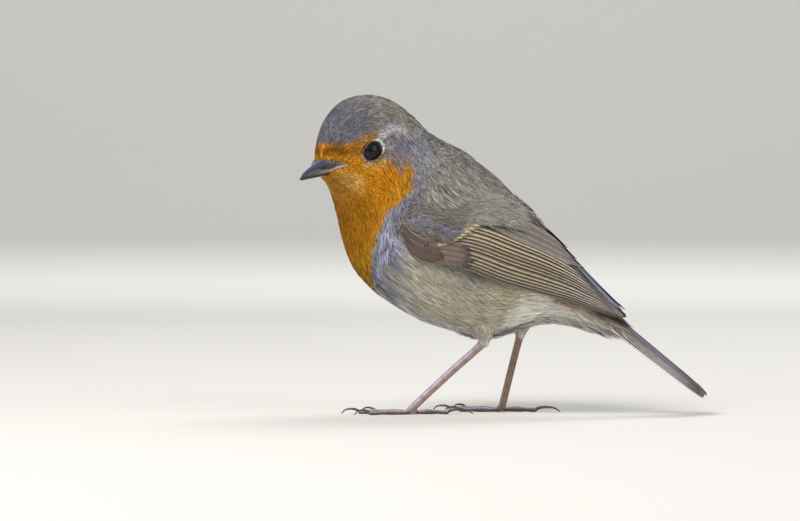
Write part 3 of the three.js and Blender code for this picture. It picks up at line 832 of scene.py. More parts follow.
def makeSkin():
    # The body's surface sunk by the coat's depth, deeper at the eyes. Round the legs it is
    # drawn down to a cone: a point at distance d from a thigh's axis goes down to where the
    # thigh's own radius is d.
    material = tintedMaterial("downySkin", 0.9, 700, 0.3, specular=0.2)
    noiseBump(material, 1800, 0.6, 0.0004)
    place, around = np.linspace(0, lastRib, skin["rows"])[:, None], fullTurn(skin["around"])[None]
    depth = skinDepth(place) + 0 * around
    flat = bodyPoint(place, around, -depth)
    depth = depth + skin["orbit"] * (1 - smooth(eyeDistance(flat), -1.0, 0.6))
    rings = bodyPoint(place, around, -depth)
    for leg in legs.values():
        hip = np.array(leg["hip"]) - np.array([lengthCentre, 0, 0])
        axis = np.array(leg["ankle"]) - leg["hip"]
        way, long = unit(axis), np.linalg.norm(axis)
        off = rings - hip
        down = off @ way
        far = np.linalg.norm(off - down[..., None] * way, axis=-1) + thigh["skinUnder"]
        cone = long * np.clip((thigh["hipRadius"] - far)
                              / (thigh["hipRadius"] - thigh["ankleRadius"]), 0, 1)
        move = np.where((far < thigh["hipRadius"]) & (down > -3), np.maximum(cone - down, 0), 0)
        rings = rings + move[..., None] * way
    u, v = bodyUnwrap(place + 0 * around, around + 0 * place)
    spots = np.concatenate([np.stack([u, v], -1).reshape(-1, 2), skin["endSpots"]])
    tubePiece("skin", rings, material, plumage(place, around) * skin["shade"],
              ["head", "neck", "trunk", "thigh_left", "thigh_right"], spots)


# coat of the body

# for places along the body: length and width of a tuft
tuftSize = np.array([[0, 1.1, 0.5], [1, 1.6, 0.65], [2, 2.0, 0.8], [3.5, 2.7, 1.0],
                     [5, 3.4, 1.2], [6.5, 4.2, 1.5], [8, 5.4, 1.9], [9.5, 6.6, 2.2],
                     [11, 7.6, 2.4], [12, 7.6, 2.4], [13, 7.2, 2.2], [14, 7.0, 2.0]])
coatPieces = [  # name, look, places, count, angles from the back, slot
    ("coat_face", "fine", (0.0, 3.2), 5200, (0, np.pi), "face_feathers"),
    ("coat_head", "fine", (3.2, 6.2), 6600, (0, np.pi), "face_feathers"),
    ("coat_neck", "soft", (6.2, 9.0), 2950, (0, np.pi), "body_feathers"),
    ("coat_back", "soft", (9.0, 12.4), 2900, (0, 1.45), "body_feathers"),
    ("coat_belly", "silky", (9.0, 12.4), 3300, (1.45, np.pi), "body_feathers"),
    ("coat_rump", "soft", (12.4, 14.05), 900, (0, 1.35), "body_feathers"),
    ("coat_vent", "cover", (12.4, 14.05), 1150, (1.35, np.pi), "body_feathers"),
]
coat = {"underEye": 0.22, "underWing": 0.4, "strayEdge": 0.5, "overWing": 1.8, "inGroove": 2.1,
        "rootDepth": 0.7, "shortAtEye": 0.35, "longerBelow": 0.15,
        # more bare skin at these angles round an eye: how much, where, how wide
        "bareArcs": ((0.65, 2.6, 0.9), (0.3, 4.4, 1.1))}


def layOf(place, around):
    # Heading of the feathers against the lengthways line of the body, positive to the belly:
    # a tilt over the flanks and slow waves, mirrored on the other side.
    angle = backToFront(around)
    side = np.where(np.mod(around, 2 * np.pi) > np.pi, -1.0, 1.0)
    tilt = 0.25 * band(place, 7.5, 11, 1.0) * np.sin(angle)
    tilt = tilt + 0.10 * ripple(place, around, 2.2, 5)
    return side * tilt


def wingOver(points, normals):
    # How high the folded wing lies over points of the body, -99 where it does not: the height
    # along the normal of the point of the wing's grid that is nearest to the normal's line.
    p, q = np.meshgrid(np.linspace(0.3, wingTip, 90), np.linspace(0, 1, 25), indexing="ij")
    result = np.full(len(points), -99.0)
    for side in (-1, 1):
        grid = wingPoint(p, q, 0, side).reshape(-1, 3)
        near = np.where(points[:, 1] * side > -1)[0]
        for part in np.array_split(near, max(1, len(near) // 1500)):
            gap = grid[None] - points[part, None]
            high = (gap * normals[part, None]).sum(-1)
            aside = np.sqrt(np.maximum((gap * gap).sum(-1) - high * high, 0))
            best = (aside + 100 * (np.abs(high) > 5)).argmin(1)
            rows = np.arange(len(part))
            found = (aside[rows, best] < 0.9) & (np.abs(high[rows, best]) < 5)
            result[part[found]] = high[rows, best][found]
    return result


def aroundEyes(place, around, heading):
    # feathers near an eye turn away from it: its outward direction is added to their lay
    here, _, _, ea, eb = localFrame(bodyPoint, place, around)
    way = np.cos(heading)[:, None] * ea + np.sin(heading)[:, None] * eb
    for side in (-1, 1):
        flat, depth, turn = fromEye(here, side)
        push = 1.5 * np.exp(-np.maximum(flat - opening(turn), 0)) * (depth > -1)
        way = way + push[:, None] * roundEye(side, turn)
    return np.arctan2((way * eb).sum(-1), (way * ea).sum(-1))


def coatRoots(count, places, angles):
    # Roots between two angles from the back, closer where tufts are small. None grow in the
    # gape, on the eyes' rings or under the folded wing, save those of the flanks that slip in
    # under its lower edge.
    tuftArea = tuftSize[:, 1] * tuftSize[:, 2]
    weight = lambda p, q: band(backToFront(q), angles[0] - 1e-3, angles[1] + 1e-3, 1e-3) \
        / np.interp(p, tuftSize[:, 0], tuftArea)
    place, around = spreadRoots(count, places, weight=weight)
    here = bodyPoint(place, around)
    keep = ~inGape(place, around)
    for side in (-1, 1):
        flat, far, turn = fromEye(here, side)
        bare = coat["underEye"] + sum(more * np.exp(-(turnedFrom(turn, middle) / half) ** 2)
                                      for more, middle, half in coat["bareArcs"])
        keep &= (flat - opening(turn) > bare) | (far < -1)
    over = wingOver(here, normalAt(bodyPoint, place, around))
    keep &= (over < -coat["underWing"]) | ((over > 0.5) & (backToFront(around) > 1.6))
    return place[keep], around[keep]


def overWing(place, around, ends, lift):
    # feathers of the neck and the back that reach the wing lie over its edge, and those of
    # the rump fill the groove between the wings
    tips = bodyPoint(*ends)
    over = wingOver(tips, normalAt(bodyPoint, *ends))
    above = ((backToFront(around) < 1.3) | (place < 8.6)) & (over > -0.6) & (place < 11.5)
    lift = np.where(above, np.clip(over + 0.4, lift, coat["overWing"]), lift)
    groove = np.exp(-(tips[:, 1] / 1.5) ** 2) * band(place, 11.3, 13.7, 0.3)
    return lift + coat["inGroove"] * groove


def makeCoat(material):
    # tufts as long and wide as their place says, short at the eyes and laid away from them
    for name, lookName, places, count, angles, slotName in coatPieces:
        place, around = coatRoots(count, places, angles)
        n = len(place)
        length = lookUp(place, tuftSize) * rng.uniform(0.85, 1.15, n)
        width = lookUp(place, tuftSize, 2) * rng.uniform(0.9, 1.15, n)
        below = smooth(backToFront(around), 1.5, 2.6) * smooth(place, 9, 11)
        length = length * (1 + coat["longerBelow"] * below)
        near = eyeDistance(bodyPoint(place, around))
        length = length * (coat["shortAtEye"] + (1 - coat["shortAtEye"]) * smooth(near, 0, 3))
        heading = layOf(place, around) + rng.normal(0, 0.07, n)
        heading = aroundEyes(place, around, heading)
        alongPlace, alongAround, _, _ = localSteps(bodyPoint, place, around, heading)
        for _ in range(2):  # tufts whose tips would hang over an eye are shortened
            tips = bodyPoint(place + length * alongPlace, around + length * alongAround)
            length = np.where(eyeDistance(tips) < 0.15, 0.55 * length, length)
        tips = bodyPoint(place + length * alongPlace, around + length * alongAround)
        keep = eyeDistance(tips) > -0.05
        place, around, length, width, heading, alongPlace, alongAround, near = (
            x[keep] for x in (place, around, length, width, heading, alongPlace, alongAround,
                              near))
        n = len(place)
        lift = rng.normal(0.0, 0.1, n) * (0.3 + 0.7 * smooth(place, 3, 9))
        lift = lift - 0.35 * np.exp(-np.maximum(near, 0) / 0.8)
        ends = place + length * alongPlace, around + length * alongAround
        lift = overWing(place, around, ends, lift)
        colour = plumage(np.clip(place + 0.7 * length * alongPlace, 0, 17),
                         around + 0.7 * length * alongAround,
                         coat["strayEdge"] * np.clip(rng.normal(0, 1, n), -1.3, 1.3))
        growTufts(name, bodyPoint, (place, around), (length, width), heading,
                  coat["rootDepth"] * skinDepth(place), lift, colour, lookName, bodyUnwrap,
                  material)


# long pale wisps of the breast's side that hang over the bend of the wing

wisps = {"count": 64, "places": (7.0, 8.9), "angles": (1.62, 2.15), "length": (4.5, 8),
         "width": 1.0, "rootDepth": 0.8, "lift": (0.3, 1.6), "colour": (178, 179, 202),
         "shades": (0.4, 1.1)}


def makeWisps(material):
    # both sides have the same roots, mirrored
    n = wisps["count"]
    place, around = rng.uniform(*wisps["places"], n), rng.uniform(*wisps["angles"], n)
    place, around = np.tile(place, 2), np.concatenate([around, otherSide(around, 1)])
    side = np.repeat([1.0, -1.0], n)
    length = rng.uniform(*wisps["length"], 2 * n)
    heading = side * rng.normal(0.15, 0.25, 2 * n)
    lift = rng.uniform(*wisps["lift"], 2 * n)
    colour = linear(*wisps["colour"]) * rng.uniform(*wisps["shades"], (2 * n, 1))
    growTufts("breast_wisps", bodyPoint, (place, around), (length, wisps["width"]), heading,
              wisps["rootDepth"], lift, colour, "wisp", bodyUnwrap, material)


# thigh tufts

thighTufts = {"count": 330, "length": 4.2, "width": 1.5, "rootDepth": 0.5, "fringeLift": 1.7,
              "fringeLonger": 0.4, "pale": (206, 199, 182), "blue": (224, 221, 226)}


def makeThighs(material):
    # tufts that shorten down the thigh and lie close at its end, with a loose fringe in front
    thighMap = lambda t, around: (0.05 + 0.9 * t, 0.02 + 0.96 * np.mod(around / (2 * np.pi), 1))
    for word, leg in legs.items():
        surface = thighPoint(leg)
        t, around = spreadRoots(thighTufts["count"], (0.15, 0.97), surface)
        length = thighTufts["length"] * (1.1 - 0.55 * t) * rng.uniform(0.85, 1.15, len(t))
        ahead = np.clip(-normalAt(surface, t, around)[:, 0], 0, 1)
        fringe = ahead * band(t, 0.2, 0.6, 0.15)
        length = length * (1 + thighTufts["fringeLonger"] * fringe)
        colour = blend(linear(*thighTufts["pale"]), linear(*thighTufts["blue"]),
                       smooth(t, 0.6, 0.95))
        growTufts(f"thigh_{word}_tufts", surface, (t, around),
                  (length, thighTufts["width"] * (1.1 - 0.5 * t)),
                  rng.normal(0, 0.15, len(t)), thighTufts["rootDepth"],
                  thighTufts["fringeLift"] * fringe - 0.35 * smooth(t, 0.5, 1.0), colour,
                  "loose", thighMap, material)


# bill

bill = {"tip": (26.8, 62.9), "nostril": (20.0, 67.6), "gape": (13.6, 65.9), "end": 14.0,
        "halfWidth": 3.6, "overbite": 0.5, "lowerRise": 1.9, "nostrilAt": (20.4, 65.75),
        "nostrilSize": (0.95, 0.3), "nostrilDeep": 0.45, "gapeProud": 0.62,
        # the ridge colour is a painted bluish sky highlight along the culmen and the gape's upper
        # side
        "horn": (22, 20, 26), "ridge": (74, 84, 126), "edge": (204, 180, 156)}


def billLines(x):
    # Culmen, cutting edge, keel and half width at a distance in front of the pivot line: each
    # goes from the tip's by a power of the share of the way back to the gape.
    back = np.clip((bill["tip"][0] - x) / (bill["tip"][0] - bill["gape"][0]), 0, 1.2)
    nostrilBack = (bill["tip"][0] - bill["nostril"][0]) / (bill["tip"][0] - bill["gape"][0])
    top = bill["tip"][1] + (bill["nostril"][1] - bill["tip"][1]) * (back / nostrilBack) ** 0.72
    edge = bill["tip"][1] - 0.4 + (bill["gape"][1] - bill["tip"][1] + 0.4) * back ** 0.8
    bottom = bill["tip"][1] - 0.75 + bill["lowerRise"] * np.minimum(back, 1)
    return top, edge, bottom, 0.2 + bill["halfWidth"] * back ** 0.8


# the bared side of the bill runs back over the face as a wedge between two lines, each a
# place and an angle; the last point is the corner of the mouth
gapeTop = np.array([[-0.2, 0.3], [0.36, 0.8], [0.6, 1.05], [1.03, 1.34], [1.46, 1.52],
                    [1.85, 1.65], [2.13, 1.70]])
gapeLow = np.array([[-0.2, 2.6], [0.34, 2.1], [0.88, 1.86], [1.24, 1.81], [1.65, 1.77],
                    [2.13, 1.75]])


def inGape(place, around):  # true inside the wedge
    angle = backToFront(around)
    return (angle > lookUp(place, gapeTop)) & (angle < lookUp(place, gapeLow)) \
        & (place < gapeTop[-1, 0])


def makeBillHalf(upper, word, material):
    # Rings from the tip back: each is flat along the cutting edge and arched to the culmen
    # or the keel, half width * cos to the side and the arch by a power of sin.
    front = bill["tip"][0] - (0 if upper else bill["overbite"])
    x = front + (bill["end"] - front) * np.linspace(0, 1, 64)[:, None] ** 1.25
    turn = fullTurn(56)[None]
    top, edge, bottom, half = billLines(x)
    seam = edge + (0.05 if upper else -0.05)
    far = np.maximum(top, seam + 0.3) if upper else np.minimum(bottom, seam - 0.3)
    arch = np.maximum(0, np.sin(turn)) ** 0.85
    side = half * np.cos(turn) * (1 - (0.26 if upper else 0.12) * arch)
    z = seam + (far - seam) * arch + 0.12 * np.minimum(0, np.sin(turn)) * (1 if upper else -1)
    dent = np.exp(-((x - bill["nostrilAt"][0]) / bill["nostrilSize"][0]) ** 4
                  - ((z - bill["nostrilAt"][1]) / bill["nostrilSize"][1]) ** 4)
    horn = linear(*bill["horn"]) + 0 * side[..., None]
    if upper:  # the nostril is an oval dent low on each side of the base
        side = side - bill["nostrilDeep"] * dent * np.sign(side) * (np.abs(side) > 0.5)
        # painted highlight: the top of the upper mandible turns to the bluish ridge colour, a
        # painted sky reflection
        horn = blend(horn, linear(*bill["ridge"]), 0.8 * arch ** 3 + 0 * x)
    paleEdge = np.exp(-((z - edge) / 0.32) ** 2) * (1 - smooth(x, 17.5, 24.5))
    horn = blend(horn, linear(*bill["edge"]), (0.85 if upper else 0.5) * paleEdge)
    # painted shade: the nostril's dent is darkened
    if upper:
        horn = horn * (1 - 0.85 * dent)[..., None]
    rings = turnHead(np.stack([headPivotX - x + 0 * side, side, z], -1), 1.0)
    tubePiece(f"bill_{word}_horn", rings, material, horn, [f"bill_{word}"])


def makeGape(material):
    # Across the gape w runs from the lower line, 0, to the upper one, 1. The outer sheet
    # stands proud by a half circle of w, the inner one lies under the skin.
    place, w = np.linspace(-0.1, gapeTop[-1, 0], 48)[:, None], np.linspace(0, 1, 19)[None]
    low, top = lookUp(place, gapeLow) + 0.01, lookUp(place, gapeTop) - 0.01
    swell = bill["gapeProud"] * np.sqrt(1 - (2 * w - 1) ** 2) * (1 - 0.25 * place / 2.2) - 0.25
    paleAt = 0.13 + 0.2 * smooth(place, 0.4, 1.3) + 0.17 * smooth(place, 1.3, 2.0)
    pale = np.exp(-((w - paleAt) / (0.13 + 0.13 * smooth(place, 0.6, 1.8))) ** 2)
    pale = np.maximum(pale, smooth(place, 1.45, 2.05) * 0.9)
    # painted highlight: the gape's upper side turns to the same bluish colour
    horn = blend(linear(*bill["horn"]), linear(*bill["ridge"]), smooth(w, 0.5, 0.9) + 0 * place)
    horn = blend(horn, linear(*bill["edge"]), 0.9 * pale)
    # painted shade: a thin dark line above the pale edge, as of a groove
    horn = horn * (1 - 0.5 * np.exp(-((w - paleAt - 0.2) / 0.07) ** 2))[..., None]
    tint = tubeTint(np.concatenate([horn, horn[:, ::-1]], axis=1))
    shapes = []
    for side in (-1, 1):
        angle = otherSide(low + (top - low) * w, side)
        shapes.append(closedTube(np.concatenate(
            [bodyPoint(place, angle, swell), bodyPoint(place, angle, -0.75)[:, ::-1]], axis=1)))
    points, faces = joinShapes(shapes)
    makePiece("bill_gape", points, faces, material, np.tile(tint, (2, 1)))


def makeBill():
    material = tintedMaterial("billHorn", 0.3, 1200, 0.15, specular=0.5, coat=0.6,
                              coatRoughness=0.14)
    noiseBump(material, 2600, 0.12, 0.0001, stretch=(0.3, 1, 1))
    makeBillHalf(True, "upper", material)
    makeBillHalf(False, "lower", material)
    makeGape(material)


# bristles at the gape

bristles = {"count": 9, "length": (2.6, 4.2), "thick": 0.05, "places": (0.9, 2.3),
            "above": (0.03, 0.22), "colour": (44, 32, 22)}


def makeBristles(material):
    # A bristle leaves the face above the gape and bends forward and down: its path is
    #   root + out (1.6 sin(1.6 t) - 0.2) + forward 0.55 length t - up 0.6 length t t
    # and its radius thick (1 - 0.85 t), for t from 0 at the root to 1.
    shapes = []
    t = np.linspace(0, 1, 8)[:, None]
    for side in (-1, 1):
        place = rng.uniform(*bristles["places"], bristles["count"])
        angle = lookUp(place, gapeTop) - rng.uniform(*bristles["above"], len(place))
        around = otherSide(angle, side)
        here, _, _, back, _ = localFrame(bodyPoint, place, around)
        out = normalAt(bodyPoint, place, around)
        for k in range(len(place)):
            long = rng.uniform(*bristles["length"])
            path = here[k] - 0.2 * out[k] + out[k] * 1.6 * np.sin(1.6 * t) \
                - back[k] * (0.55 * long * t) - np.array([0, 0, 1.0]) * (0.6 * long * t * t)
            way = unit(np.gradient(path, axis=0))
            across = unit(np.cross(way, out[k]))
            radius = bristles["thick"] * (1 - 0.85 * t[:, 0])
            shapes.append(closedTube(tube(path, across, np.cross(way, across), radius, radius, 5)))
    points, faces = joinShapes(shapes)
    makePiece("gape_bristles", points, faces, material,
              linear(*bristles["colour"]), bakeMap=np.full((len(points), 2), 0.5))


# stiff feathers of the wings and the tail

def tipOutline(t, start, reach, power=2):  # 1 up to the start, then round to 0 over the reach
    return np.sqrt(np.clip(1 - (np.maximum(t - start, 0) / reach) ** power, 0, 1))


def vane(side, start, end, half, lift, tilt, camber=0.12, rows=26):
    # One stiff feather of a wing as a grid: t runs from its root to its tip, w from -1 to 1
    # across it. Start and end are a place and millimetres above the wing's lower edge: both
    # are start + (end - start) t, less at the sides of the tip, plus half width * outline(t)
    # * w across. The outline is a quarter round at each end and straight between them.
    t, w = np.linspace(0, 1, rows)[:, None], np.linspace(-1, 1, 9)[None]
    outline = tipOutline(-t, -0.35, 0.36) * tipOutline(t, 0.8, 0.202)
    along = t * (1 - 0.09 * w * w * smooth(t, 0.7, 1))
    place = start[0] + (end[0] - start[0]) * along
    across = w * half * outline
    share = (start[1] + (end[1] - start[1]) * along + across) / wingHeight(place)
    swell = lift[0] + (lift[1] - lift[0]) * t + tilt * w - camber * w * w
    return wingPoint(place, np.minimum(share, 1.05), swell, side), t + 0 * w, w + 0 * t, across


def feather(points, t, w, across, colour, edge, tipColour=None, edgeFrom=0.6, tip=0.86,
            shaft=0.75, streak=None, darkSide=None):
    # colours of a vane: paler edges, a dark thin shaft, painted shade at the root, and perhaps
    # a streak along the middle, a tip of another colour, or a darker upper side with no pale edge
    # painted shade: the vane is darker towards its root
    tint = linear(*colour) * (0.75 + 0.25 * smooth(t, 0.0, 0.5))[..., None]
    if streak is not None:
        tint = blend(tint, linear(*streak), 0.8 * np.exp(-((w - 0.2) / 0.4) ** 2))
    if darkSide is not None:
        tint = blend(tint, linear(*darkSide), 0.55 * smooth(w, -0.75, -0.2))
    rim = np.abs(w) if darkSide is None else -w
    tint = blend(tint, linear(*edge), 0.8 * smooth(rim, edgeFrom, 1.0))
    tint = tint * (1 - (1 - shaft) * np.exp(-(w / 0.07) ** 2))[..., None]
    if tipColour is not None:
        spot = smooth(t, tip, tip + 0.08) * (1 - smooth(np.abs(w), 0.7, 1.0))
        tint = blend(tint, linear(*tipColour), spot)
    middle = points.shape[1] // 2
    along = t * np.linalg.norm(points[-1, middle] - points[0, middle])
    return points, tint, t, w, along, across


def sheetsPiece(name, sheets, material, replaced, thick=0.07):
    # Feather grids made into one mesh. Each has a second layer a little below it and a rim
    # that closes it, and its own cell of the bake map. The barbs attribute holds a number
    # that is constant along a barb, a small part of the way along it, and a feather number.
    shapes, tints, spots, barbs = [], [], [], []
    cells = math.ceil(math.sqrt(len(sheets)))
    for k, (points, tint, t, w, along, across) in enumerate(sheets):
        rows, columns = points.shape[:2]
        count = rows * columns
        normal = unit(np.cross(np.gradient(points, axis=0), np.gradient(points, axis=1)))
        aside = points[..., 1].mean()  # a wing's feathers face outwards, the tail's upwards
        shown = np.array([0.3, np.sign(aside), 0.4] if abs(aside) > 3 else [0.3, 0, 1.0])
        if normal[rows // 2, columns // 2] @ shown < 0:
            normal = -normal
        both = np.concatenate([points.reshape(-1, 3), (points - thick * normal).reshape(-1, 3)])
        top = gridFaces(rows, columns)
        edge = np.concatenate([np.arange(columns), np.arange(2, rows) * columns - 1,
                               count - 1 - np.arange(columns),
                               np.arange(rows - 2, 0, -1) * columns])
        following = np.roll(edge, -1)
        rim = np.stack([edge, following, following + count, edge + count], -1)
        shapes.append((both, outward(both, [top[:, ::-1], top + count, rim])))
        tints += [tint.reshape(-1, 3), 0.8 * tint.reshape(-1, 3)]
        u = (k % cells + 0.5 + 0.45 * np.clip(w, -1, 1)) / cells
        v = (k // cells + 0.05 + 0.9 * t) / cells
        spots += [np.stack([u, v], -1).reshape(-1, 2)] * 2
        slant = np.stack([along - 1.1 * np.abs(across), 0.12 * np.abs(across) + 0 * along,
                          7.3 * k + 0 * along], -1)
        barbs += [slant.reshape(-1, 3)] * 2
    points, faces = joinShapes(shapes)
    piece = makePiece(name, points, faces, material, np.concatenate(tints), replaced,
                      np.concatenate(spots))
    layer = piece.data.attributes.new("barbs", "FLOAT_VECTOR", "POINT")
    layer.data.foreach_set("vector", np.concatenate(barbs).ravel())
    print(name, len(sheets), "feathers", triangles(faces), "triangles")


def vaneMaterial(name, roughness, contrast):
    # the mesh's tint made lighter and darker barb by barb, with fine grooves between barbs
    material = newMaterial(name, roughness, specular=0.4)
    barbs = addNode(material, "ShaderNodeAttribute", {}, attribute_name="barbs")
    noise = tintByNoise(material, barbs.outputs["Vector"], 3.0, 1.0, 0.15, contrast)
    bumpFrom(material, noise, 0.3, 0.0001)
    return material


# wings

wing = {
    # lower edges of the flight feathers, outermost first: millimetres above the wing's own
    # where the spread, a share by place, is 1; and how bright the pale edges are
    "edges": (0, 0.65, 1.4, 2.1, 2.9, 3.8, 5.0, 5.8, 6.7, 7.6, 8.6, 9.8, 10.7, 11.9),
    "bright": (0.05, 0.2, 0.6, 0.7, 0.75, 0.7, 0.65, 0.6, 0.45, 0.85, 1.0, 0.95, 1.0),
    "spread": np.array([[1.9, 1.0], [3.3, 1.02], [4.0, 1.02], [4.6, 1], [5.0, 0.975],
                        [5.3, 0.945], [5.6, 0.915], [6, 0.85], [6.4, 0.77], [6.8, 0.71],
                        [7.4, 0.42], [8, 0.16]]),
    # places of the roots, and of the tips of the first, seventh and last flight feather;
    # millimetres from one feather down to the next; millimetres for one place
    "root": 1.9, "tips": (7.97, 7.35, 6.0), "step": 0.2, "placeLength": 8.2,
    # the gap colour is a painted shadow on each flight feather under the next one's edge
    "brown": (106, 94, 82), "gap": (52, 43, 38), "outermost": (104, 90, 82),
    "pale": (196, 181, 142), "paleTip": (222, 212, 210),
    "tertial": (142, 132, 121), "tertialEdge": (206, 196, 176), "tertialDark": (90, 82, 86),
    # the blue feather near the wing's tip is a painted sky sheen, with pale edges
    "skySheenBlue": (88, 92, 118), "blueEdge": (188, 188, 196),
    "covert": (110, 102, 96), "covertBlue": (118, 118, 130), "covertEdge": (122, 112, 102),
    "covertTip": (202, 188, 146), "primaryCovert": (108, 94, 84),
    "primaryEdge": (124, 110, 100), "primaryDark": (80, 68, 70),
    "alula": (88, 71, 64), "alulaEdge": (100, 84, 76), "alulaPale": (172, 162, 156),
    # the rear fore colour is lighter: painted light, as on the mantle's rear
    "fore": (116, 112, 104), "foreRearPaintedLight": (152, 147, 139), "median": (112, 104, 94),
    "medianBlue": (122, 125, 146), "inner": (112, 104, 96),
}


def flightFeather(index, side):
    # The outermost flight feather has index 0. Its lower edge lies edges[index] * spread over
    # the wing's, it is three gaps wide and slants inwards, so that the next one's lower edge
    # lies on it. Across it, x in gaps, go pale edge, brown vane and a painted shadow under the
    # next one's edge.
    tip = np.interp(index, [0, 6, 12], wing["tips"])
    gap = wing["edges"][index + 1] - wing["edges"][index]
    t = np.linspace(0, 1, 46)[:, None]
    x = np.array([0, 0.14, 0.3, 0.46, 0.64, 0.8, 0.92, 1.02, 1.3, 2.0, 3.0])[None]
    place = wing["root"] + (tip - wing["root"]) * t
    height, spread = wingHeight(place), lookUp(place, wing["spread"])
    low = wing["edges"][index] * spread
    wide = np.minimum(3.0 * gap * spread, np.maximum(height - low, 0.25))
    across = wide * tipOutline(t, 0.88, 0.122) * x / 3.0
    swell = 0.26 - wing["step"] * np.minimum(x, 2.4) + 0 * t
    points = wingPoint(place + 0 * x, (low + across) / height, swell, side)
    pale = blend(linear(*wing["pale"]), linear(*wing["paleTip"]), smooth(place, 4.8, 7.0))
    brown = linear(*wing["outermost" if index == 0 else "brown"])
    tint = blend(brown, pale, wing["bright"][index] * (1 - smooth(x, 0.2, 0.5)) + 0 * t)
    # painted shadow: dark just below the next feather's lower edge
    tint = blend(tint, linear(*wing["gap"]), smooth(x, 0.52, 0.86) + 0 * t)
    along = (t + 0 * x) * wing["placeLength"] * (tip - wing["root"])
    return points, tint, t + 0 * x, x / 1.5 - 1 + 0 * t, along, across


# Feathers over the fore wing. Points are a place along the wing and millimetres above its
# lower edge: tertials, the blue tip, painted with a sky sheen, and the alula run from a root to
# a tip with a half width, coverts end at a tip. A blue-grey streak has two places, a height at
# each and a half width.
wingTertials = [((2.9, 13.9), (6.12, 13.0), 2.2), ((3.0, 15.6), (5.8, 14.6), 2.3),
                ((3.1, 17.6), (5.4, 16.8), 2.4)]
wingSkySheenFeather = ((5.9, 13.2), (7.85, 2.2), 1.15)
wingPrimaryCoverts = [(3.14, 1.0), (3.16, 2.3), (3.08, 3.6), (2.96, 4.9)]
wingGreaterCoverts = [(2.22, 4.7), (2.35, 5.2), (2.47, 5.8), (2.58, 6.5), (2.68, 7.3),
                      (2.77, 8.2), (2.85, 9.2), (2.92, 10.3), (2.99, 11.4)]
wingAlula = [((0.55, 2.3), (2.33, 1.9), 2.25, "alulaEdge"),
             ((0.6, 4.3), (1.72, 3.9), 1.05, "alulaPale")]
wingStreaks = [(1.2, 2.7, 10.6, 8.4, 0.8), (0.75, 1.5, 9.4, 8.2, 0.6), (1.6, 2.5, 7.6, 6.8, 0.4)]
# Soft tufts: count, places, shares of the wing's height, length, width, lay and lift; they
# grow from the lowest to the highest height, and the lowest rises by so much for a place.
wingSoft = {"lesser": (900, (-0.3, 2.0), (0.28, 1.02), 4.6, 1.1, -0.1, 1.15, (5.0, 14.0, 0.5)),
            "scapular": (700, (0.1, 3.6), (0.7, 1.06), 6.4, 2.1, -0.2, 1.3, (12.2, 99.0, 0))}


def wingCoat(place, share):
    # Colour of the soft feathers over the fore wing: the mantle's, lighter towards the rear
    # with painted light, darker and browner low down, with blue-grey streaks.
    height = share * wingHeight(place)
    fore, rear, brown, blue = (linear(*wing[k]) for k in ("fore", "foreRearPaintedLight", "median",
                                                          "medianBlue"))
    # painted light: lighter towards the rear, as on the mantle
    mantle = blend(fore, rear, smooth(place, 2.2, 3.5))
    colour = blend(brown, mantle, smooth(height, 9.5, 13))
    for start, end, startHeight, endHeight, half in wingStreaks:
        middle = startHeight + (endHeight - startHeight) * (place - start) / (end - start)
        share = np.exp(-((height - middle) / half) ** 2) * band(place, start, end, 0.25)
        colour = blend(colour, blue, 0.9 * share)
    return colour


def coverSheets(side):
    # tertials, the blue feather whose blue is a painted sky sheen, primary coverts, greater
    # coverts and alula, each a little higher than the one before
    sheets = []
    for k, (root, tip, half) in enumerate(wingTertials):
        grid = vane(side, root, tip, half, (0.3 + 0.2 * k, 0.4 + 0.2 * k), 0.12, 0.25, rows=36)
        sheets.append(feather(*grid, wing["tertial"], wing["tertialEdge"], edgeFrom=0.8,
                              shaft=0.6, darkSide=wing["tertialDark"]))
    # painted sky sheen: a blue feather over the primaries' upper edge near the tip
    grid = vane(side, *wingSkySheenFeather, (0.4, 0.5), 0.1)
    sheets.append(feather(*grid, wing["skySheenBlue"], wing["blueEdge"], edgeFrom=0.75))
    for k, (place, height) in enumerate(wingPrimaryCoverts):
        grid = vane(side, (1.5, height + 0.2), (place, height), 1.0,
                    (0.45 + 0.05 * k, 0.5 + 0.06 * k), 0.12)
        sheets.append(feather(*grid, wing["primaryCovert"], wing["primaryEdge"],
                              wing["primaryDark"], tip=0.78))
    for k, (place, height) in enumerate(wingGreaterCoverts):
        grid = vane(side, (place - 1.7, height + 1.6), (place, height), 1.2,
                    (0.6, 0.8 + 0.03 * k), 0.14)
        sheets.append(feather(*grid, wing["covert"], wing["covertEdge"], wing["covertTip"],
                              streak=wing["covert" if k % 3 == 1 else "covertBlue"]))
    for k, (root, tip, half, edge) in enumerate(wingAlula):
        grid = vane(side, root, tip, half, (0.7 + 0.2 * k, 1.0 + 0.2 * k), 0.1, rows=34)
        sheets.append(feather(*grid, wing["alula"], wing[edge], edgeFrom=0.8))
    return sheets


def makeWingInner(side, word, material):
    # the folded wing's own body under the feathers: an oval section from edge to edge
    place, turn = np.linspace(0, wingTip, 70)[:, None], fullTurn(30)
    share = 0.5 - 0.46 * np.cos(turn)[None] + 0 * place
    thick = 0.55 * np.clip(wingHeight(place) / 8, 0.15, 1)
    swell = -0.35 - thick - thick * np.sin(turn)[None]
    points, faces = closedTube(wingPoint(place, share, swell, side))
    makePiece(f"wing_{word}_inner", points, faces, material,
              linear(*wing["inner"]))


